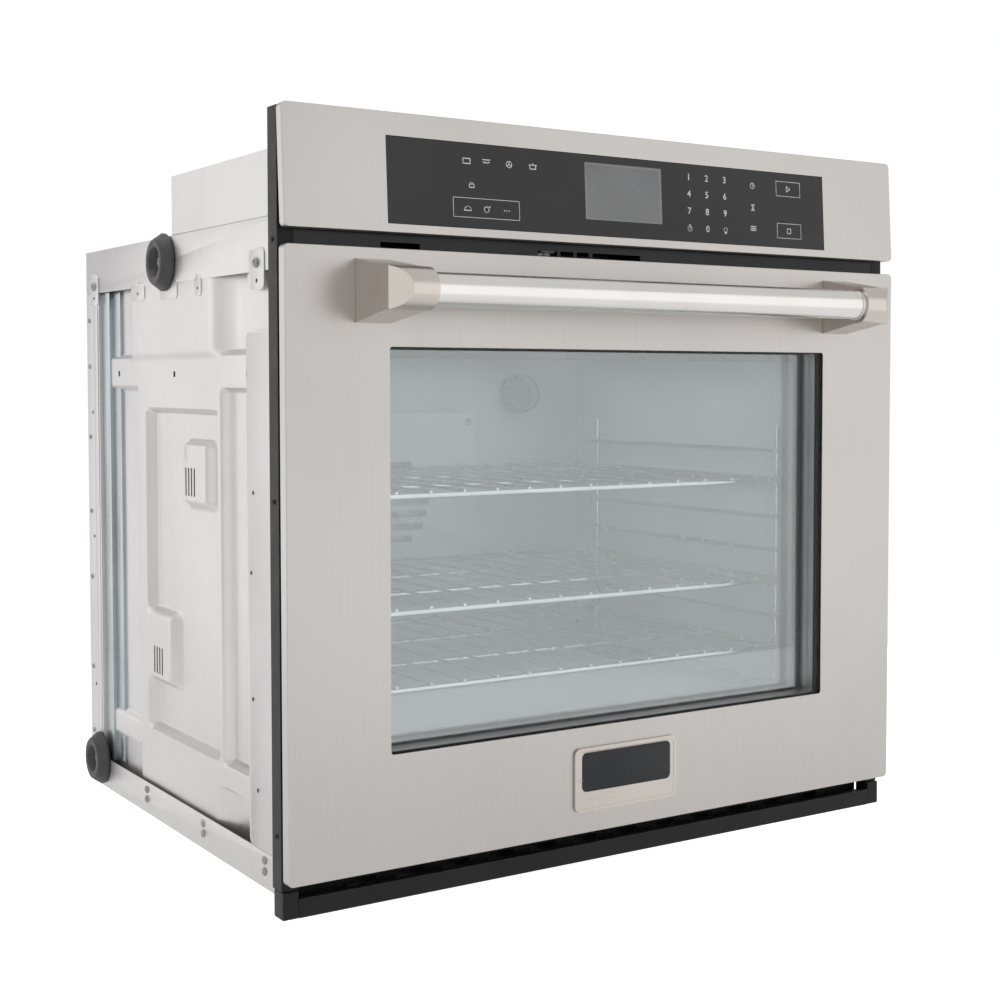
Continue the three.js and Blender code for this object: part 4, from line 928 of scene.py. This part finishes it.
folded_element("bake_tube", "bake_element")
folded_element("broil_tube", "broil_element")
low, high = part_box("convection_element")
tube = 3.5 * MM
ring_radius, ring_y, ring_z = high.x - tube, low.y + tube, low.z + high.x
gap = math.degrees(math.asin(14 * MM / ring_radius))
build = bmesh.new()
turns = [gap + (360 - 2 * gap) * k / 48 for k in range(49)]
path = [(x, ring_y, z) for x, z in (circle_point(0, ring_z, ring_radius, 90 - a) for a in turns)]
(first_x, _, first_z), (last_x, _, last_z) = path[0], path[-1]
bar(build, bent([(first_x, high.y, first_z), *path, (last_x, high.y, last_z)], 5 * MM), tube, 12)
piece_of("convection_tube", build, "element_sheath", ["convection_element"])
print("elements swept")

# %% [markdown]
# The side of the box is one large pressed sheet, sunk in shallow trays that stiffen it, with two
# louvred pods left standing in the middle tray. Modelling it as a height over a grid is simplest:
# every tray or pod is a rectangle with its own level and its own four slopes, and a smooth step
# on each slope gives the soft pressed corners. Flat areas are then merged back into large faces.

# %% Levels of the pressed side sheet
FIELD, PAD, REAR, DEEP = -5.0, -0.6, -10.5, -14.6
# level, front, back, bottom, top, and the four slopes in the same order (0: no slope)
PRESSINGS = [
    (PAD, -146, 153, 508, 700, 38, 16, 12, 0),
    (DEEP, -190, -98, 513, 700, 6, 55, 6, 0),
    (REAR, 131, 320, 513, 700, 22, 0, 6, 0),
    (DEEP, -197, -116, 96, 482, 6, 14, 7, 6),
    (DEEP, -110, 104, 97, 458, 13, 18, 7, 6),
    (FIELD, -89, -9, 351, 427, 14, 8, 10, 8),
    (FIELD, 12, 106, 149, 238, 22, 0, 9, 11),
    (REAR, 124, 320, 96, 482, 8, 0, 7, 6),
    (DEEP, -203, -94, -50, 74, 6, 58, 0, 4),
    (REAR, 124, 320, -50, 72, 8, 0, 0, 4),
]
SLOTS = [(y, y + 4, z, z + 30) for y0, z in ((-47, 366), (54, 162)) for y in (y0, y0 + 8, y0 + 16, y0 + 24)]
SQUARES = [(y - 3, y + 3, z - 3, z + 3) for y, z in ((188, 496), (10, 495), (-187, 494))]


def ease(distance, width):
    if not width:
        return 1.0
    t, soft = min(max(distance / width, 0.0), 1.0), 0.22
    if t < soft:
        return t * t / (2 * soft * (1 - soft))
    if t > 1 - soft:
        return 1 - (1 - t) ** 2 / (2 * soft * (1 - soft))
    return (t - soft / 2) / (1 - soft)


def level_at(y, z):
    level = FIELD
    for target, front, back, bottom, top, *slopes in PRESSINGS:
        share = 1.0
        for distance, width in zip((y - front, back - y, z - bottom, top - z), slopes):
            if distance < 0:
                share = 0.0
                break
            share *= ease(distance, width)
        level += (target - level) * share
    return level


GRID = 3.2


def grid_lines(low, high, marks):
    count = round((high - low) / GRID)
    lines = [low + (high - low) * k / count for k in range(count + 1)]
    return sorted([v for v in lines if all(abs(v - m) > 0.9 for m in marks)] + sorted(set(marks)))


# %% Side sheets
SHEET = 1.2
panel_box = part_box("side_panel_right")
SIDE_X = panel_box[1].x
front, back, top = panel_box[0].y / MM, panel_box[1].y / MM, panel_box[1].z / MM
holes = SLOTS + SQUARES
ys = grid_lines(front, back - 1, [v for h in holes for v in h[:2]])
zs = grid_lines(panel_box[0].z / MM + 1, top - 1, [v for h in holes for v in h[2:]])
levels = [[level_at(y, z) for z in zs] for y in ys]


def in_hole(y, z):
    return any(h[0] < y < h[1] and h[2] < z < h[3] for h in holes)


for side, sign in SIDES:
    build = bmesh.new()
    verts = [[build.verts.new((sign * (SIDE_X + level * MM), y * MM, z * MM)) for z, level in zip(zs, column)]
             for y, column in zip(ys, levels)]
    for i in range(len(ys) - 1):
        for j in range(len(zs) - 1):
            if not in_hole((ys[i] + ys[i + 1]) / 2, (zs[j] + zs[j + 1]) / 2):
                loop = (verts[i][j], verts[i + 1][j], verts[i + 1][j + 1], verts[i][j + 1])
                build.faces.new(loop if sign > 0 else loop[::-1])
    bmesh.ops.delete(build, geom=[v for v in build.verts if not v.link_faces], context="VERTS")
    bmesh.ops.dissolve_limit(build, angle_limit=math.radians(0.25), verts=build.verts, edges=build.edges)
    mesh = mesh_of("side_sheet", build)
    sheet_piece = finished(f"side_sheet_{side}", mesh, "galvanised_steel", [f"side_panel_{side}"])
    thick = sheet_piece.modifiers.new("thickness", "SOLIDIFY")
    thick.thickness, thick.offset = SHEET * MM, -1
    weighted(sheet_piece)
    print("side sheet", side, len(mesh.polygons), "faces")

# %% [markdown]
# Rails, posts and tabs are spot-welded or screwed over the pressed sheet. They are flat plates in
# the plane of the side wall, with rounded tab ends, rivets in pairs along the bottom rail and
# screws in the tabs. Two narrow zinc strips run down the rear corner.

# %% Rails and tabs on the sides
zinc_strip = finish(
    "zinc_strip", (0.42, 0.455, 0.475), (0.56, 0.60, 0.62), (0.22, 0.38), 0.95, UPRIGHT, 300.0, 0.5, 7.0,
    flowers=60.0, worn=(0.85, 0.86, 0.87), wear=0.4, scratched=0.3, bump=0.12)
# front, back, bottom, top, corner radius, thickness, edge rounding and level of each plate
RAILS = [
    (front, back - 0.4, 592, top, 0.8, 1.15, 0.35, -1.2),
    (front, back - 0.4, 0, 35, 0.8, 1.15, 0.35, -1.2),
    (86, 128, 577, 596, 5, 1.15, 0.35, -0.7),
    (-14, 38, 575, 596, 5, 1.15, 0.35, -0.7),
    (-82, -65, 575, 596, 5, 1.15, 0.35, -0.7),
    (-243, -208, 574.5, 614, 7, 1.15, 0.35, 0.05),
    (243, 273, 577, 614, 7, 1.15, 0.35, 0.05),
    (244, back - 0.4, 35.4, 591.6, 0.8, 10.95, 0.6, -11),
    (front, -197, 35.4, 535, 6, 1.15, 0.35, -1.2),
    (248, 262, 60, 575, 2, 0.9, 0.4, -0.1),
    (-284, -279, 40, 528, 2, 0.9, 0.4, -0.1),
]
STRIPS = [(190, 216, 36, 591.5, 1, 3.3, 0.8, -10.9), (216.3, 243.8, 36, 591.5, 1, 7.3, 0.8, -10.9)]
# place along the side, height and level of each fixing
PAIRED = [(y, z, 0) for y in (95, -74, -232) for z in (16, 27)]
SMALL = [(280, z, 0) for z in (62, 140, 250, 330, 420, 505, 560)]
TINY = [(107, 585, 0.45), (-73.5, 583, 0.45)]
# Black discs, nearly flush with the metal, stand in for the small open holes in the tabs, posts and strips:
# their black is painted shade, the dark seen inside each hole.
HOLE_SHADE_SPOTS = [
    (-211, 380, 0), (-205, 302, 0), (-207, 179, 0), (-217, 91.5, 0), (-226, 583, 1.2), (257, 586, 1.2),
    (101, 595, 0), (-71, 595, 0), *((206, z, -7.8) for z in (470, 360, 250, 130)),
    *((229, z, -3.8) for z in (540, 420, 300, 180, 80)), (270, 120, 0), (270, 300, 0), (270, 450, 0),
]
HOLE_SHADE_PROFILE = [(0, -0.0008), (0.0021, -0.0008), (0.0021, 0.00012), (0.0015, 0.0002), (0, 0.0001)]
for side, sign in SIDES:
    out = Vector((sign, 0, 0))
    plane = Matrix(((0, 0, sign, sign * SIDE_X), (1, 0, 0, 0), (0, 1, 0, 0), (0, 0, 0, 1)))

    def on_side(y, z, level):
        return Vector((sign * (SIDE_X + level * MM), y * MM, z * MM))

    rails, strips, fixings, hole_shades = (bmesh.new() for _ in range(4))
    for sheet, table in ((rails, RAILS), (strips, STRIPS)):
        for *limits, thick, edge, low in table:
            plate(sheet, plane, rounded_rectangle(*limits), thick, edge, low=low)
    piece_of(f"side_rails_{side}", rails, "galvanised_steel")
    piece_of(f"corner_strips_{side}", strips, "galvanised_steel", material=zinc_strip)
    for spot in ((-226, 600, 1.15), (257, 600, 1.15)):
        screw(fixings, on_side(*spot), out, 5)
    for spots, radius in ((PAIRED, 4.2), (TINY, 2), (SMALL, 3)):
        for spot in spots:
            rivet(fixings, on_side(*spot), out, radius)
    piece_of(f"side_fixings_{side}", fixings, "bare_steel")
    # Painted shade: a black disc in place of each open hole.
    for spot in HOLE_SHADE_SPOTS:
        turned(hole_shades, HOLE_SHADE_PROFILE, on_side(*spot), out, 18)
    piece_of(f"painted_hole_shade_{side}", hole_shades, "black_trim")
print("side rails made")

# %% [markdown]
# Four rubber bumpers keep the box from rattling in the cabinet. Each is a turned dish: a wide
# foot, a short cone, a rounded nose and a deep cup with a screw at the bottom.

# %% Bumpers
for place in ("upper_left", "lower_left", "upper_right", "lower_right"):
    low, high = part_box(f"bumper_{place}")
    sign = 1 if low.x > 0 else -1
    base = Vector((low.x if sign > 0 else high.x, (low.y + high.y) / 2, (low.z + high.z) / 2))
    tall, foot = high.x - low.x, (high.y - low.y) / 2
    profile = [(0, 0), (0.97 * foot, 0), (foot, 0.001), (foot, 0.0028), (0.965 * foot, 0.0042),
               (0.80 * foot, tall - 0.0015), (0.765 * foot, tall - 0.0003), (0.72 * foot, tall),
               (0.55 * foot, tall - 0.0002), (0.50 * foot, tall - 0.0014), (0.455 * foot, 0.0042),
               (0.43 * foot, 0.0034), (0.2 * foot, 0.003), (0.17 * foot, 0.003), (0, 0.003)]
    build = bmesh.new()
    turned(build, profile, base, (sign, 0, 0), 48)
    piece_of(f"rubber_{place}", build, "rubber", [f"bumper_{place}"], angle=50)
    build = bmesh.new()
    screw(build, base + Vector((sign * 3 * MM, 0, 0)), (sign, 0, 0), 6.5)
    piece_of(f"bumper_screw_{place}", build, "bare_steel")
print("bumpers turned")

# %% [markdown]
# The rear, the floor, the lid, the top housing and the cooling blower are folded sheet, carried
# over with eased folds. The back gets what such a back has: a raised cover over the fan motor,
# four stiffening ribs and a row of screws along each edge.

# %% Sheet work of the box
soften_all(((0.2, "rear_panel top_cover blower_wheel"), (0.3, "base_pan"), (0.8, "top_housing"),
            (0.6, "conduit_gland"), (0.4, "blower_housing")))
rear_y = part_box("rear_panel")[1].y
rear_plane = wall_plane(rear_y, across=-1, out=1)
# left, right, bottom, top, corner radius, thickness, edge rounding and level
PRESSED = [(-105, 105, 230, 430, 10, 3.0, 1.2, 0), (-92, 92, 243, 417, 8, 1.2, 0.6, 3.0)]
PRESSED += [(x - 9, x + 9, 120, 520, 9, 2.5, 1.2, 0) for x in (-230, 230)]
PRESSED += [(-200, 200, z - 7, z + 7, 7, 2.5, 1.2, 0) for z in (100, 560)]
build = bmesh.new()
for *limits, thick, edge, low in PRESSED:
    plate(build, rear_plane, rounded_rectangle(*limits), thick, edge, low=low)
piece_of("rear_pressings", build, "galvanised_steel")
build = bmesh.new()
for x, z in [(x, z) for x in (-350, 350) for z in (30, 170, 320, 470, 610)] + [
        (x, z) for x in (-250, -90, 90, 200) for z in (14, 628)]:
    screw(build, Vector((x * MM, rear_y, z * MM)), (0, 1, 0), 4)
for x, z in ((-98, 237), (98, 237), (-98, 423), (98, 423)):
    screw(build, Vector((x * MM, rear_y + 3 * MM, z * MM)), (0, 1, 0), 3.6)
lid_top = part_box("top_cover")[1].z
housing_low, housing_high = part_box("top_housing")
for xs, y, z in (((-345, -120, 120, 345), 0.275, lid_top), ((-340, 340), 0.06, lid_top),
                 ((-330, -110, 110, 330), housing_high.y - 0.012, housing_high.z),
                 ((-330, -110, 110, 330), housing_low.y + 0.012, housing_high.z)):
    for x in xs:
        screw(build, Vector((x * MM, y, z)), (0, 0, 1), 4)
piece_of("box_screws", build, "bare_steel")
print("box finished")

# %% Fixings seen from the front and inside the cavity
build = bmesh.new()
cover_low, cover_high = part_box("fan_cover")
for x in (cover_low.x + 0.012, cover_high.x - 0.012):
    for z in (cover_low.z + 0.012, cover_high.z - 0.012):
        screw(build, (x, cover_low.y, z), (0, -1, 0), 4.5)
piece_of("cover_screws", build, "chrome_wire")
build = bmesh.new()
trim_low, trim_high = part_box("side_trim_right")
for _, sign in SIDES:
    for z in (trim_low.z + 0.05, (trim_low.z + trim_high.z) / 2, trim_high.z - 0.12):
        screw(build, (sign * trim_high.x, (trim_low.y + trim_high.y) / 2, z), (sign, 0, 0), 2.2)
piece_of("trim_screws", build, "black_trim", angle=30)
print("fixings made")

# %% [markdown]
# The oven stands in a white studio. The floor lies lower than the box, because the open door's
# handle swings below it. It glows a little, and more toward the camera, so it melts into the
# white behind it. Large soft lamps stand in front on the right, where the steel front mirrors
# them toward the eye, behind on the left for the side wall, farther forward on the left, and
# overhead. Two small soft lamps inside the cavity do the work of the oven's own lighting.

# %% Floor
FLOOR_HALF, FLOOR_Z = 1.5, -0.075
build = bmesh.new()
corners = ((-1, -1), (1, -1), (1, 1), (-1, 1))
build.faces.new([build.verts.new((x * FLOOR_HALF, y * FLOOR_HALF, FLOOR_Z)) for x, y in corners])
bmesh.ops.subdivide_edges(build, edges=build.edges, cuts=4, use_grid_fill=True)
floor_mesh = mesh_of("studio_floor", build)
floor = new_object("studio_floor", floor_mesh)
paper, paper_tree, paper_shader = start_material("studio_paper")
paper_cloud = use(paper_tree, "clouds", scale=1.5)
paper_colour = blend_colours(paper_tree, paper_cloud["Cloud"], (0.66, 0.66, 0.66), (0.69, 0.69, 0.69))
link(paper_tree, paper_colour, paper_shader["Base Color"])
paper_shader["Roughness"].default_value = 0.9
paper_shader["Emission Color"].default_value = (1, 1, 1, 1)


def toward_camera(tree, other_rays, camera_rays, socket):
    seen = node(tree, "ShaderNodeLightPath").outputs["Is Camera Ray"]
    link(tree, spread(tree, seen, 0, 1, other_rays, camera_rays), socket)


toward_camera(paper_tree, 0.3, 0.80, paper_shader["Emission Strength"])
floor_mesh.materials.append(paper)


# %% Lamps and the white surroundings
def lamp(name, at, toward, width, height, power):
    data = bpy.data.lights.new(name, "AREA")
    data.shape, data.size, data.size_y, data.energy = "RECTANGLE", width, height, power
    holder = new_object(name, data)
    holder.location = at
    holder.rotation_euler = (Vector(toward) - Vector(at)).to_track_quat("-Z", "Y").to_euler()
    holder.visible_camera = holder.visible_transmission = False
    return holder


lamp("front_softbox", (2.3, -3.3, 0.35), (0, -0.3, 0.35), 3.6, 4.2, 21)
lamp("side_softbox", (-2.7, 3.0, 0.45), (-0.3, 0, 0.35), 2.6, 3.0, 15)
lamp("top_softbox", (-0.8, 0.2, 3.2), (-0.2, 0, 0.4), 2.8, 2.8, 26)
lamp("left_softbox", (-3.6, -1.7, 0.9), (-0.4, 0, 0.35), 2.2, 2.6, 9)
cavity_low, cavity_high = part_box("cavity_liner")
cavity_middle = (cavity_low.z + cavity_high.z) / 2
lamp("cavity_ceiling", (0, -0.03, cavity_high.z - 0.055), (0, -0.03, 0), 0.5, 0.4, 1.3).visible_glossy = False
lamp("cavity_front", (0, cavity_low.y + 0.012, cavity_middle), (0, 1, 0.33), 0.5, 0.36, 0.7)
world = bpy.data.worlds.new("studio")
bpy.context.scene.world = world
world.use_nodes = True
sky = world.node_tree.nodes["Background"]
sky.inputs[0].default_value = (1.0, 1.0, 1.0, 1)
toward_camera(world.node_tree, 0.70, 1.02, sky.inputs[1])
bpy.context.scene.view_settings.view_transform = "Standard"
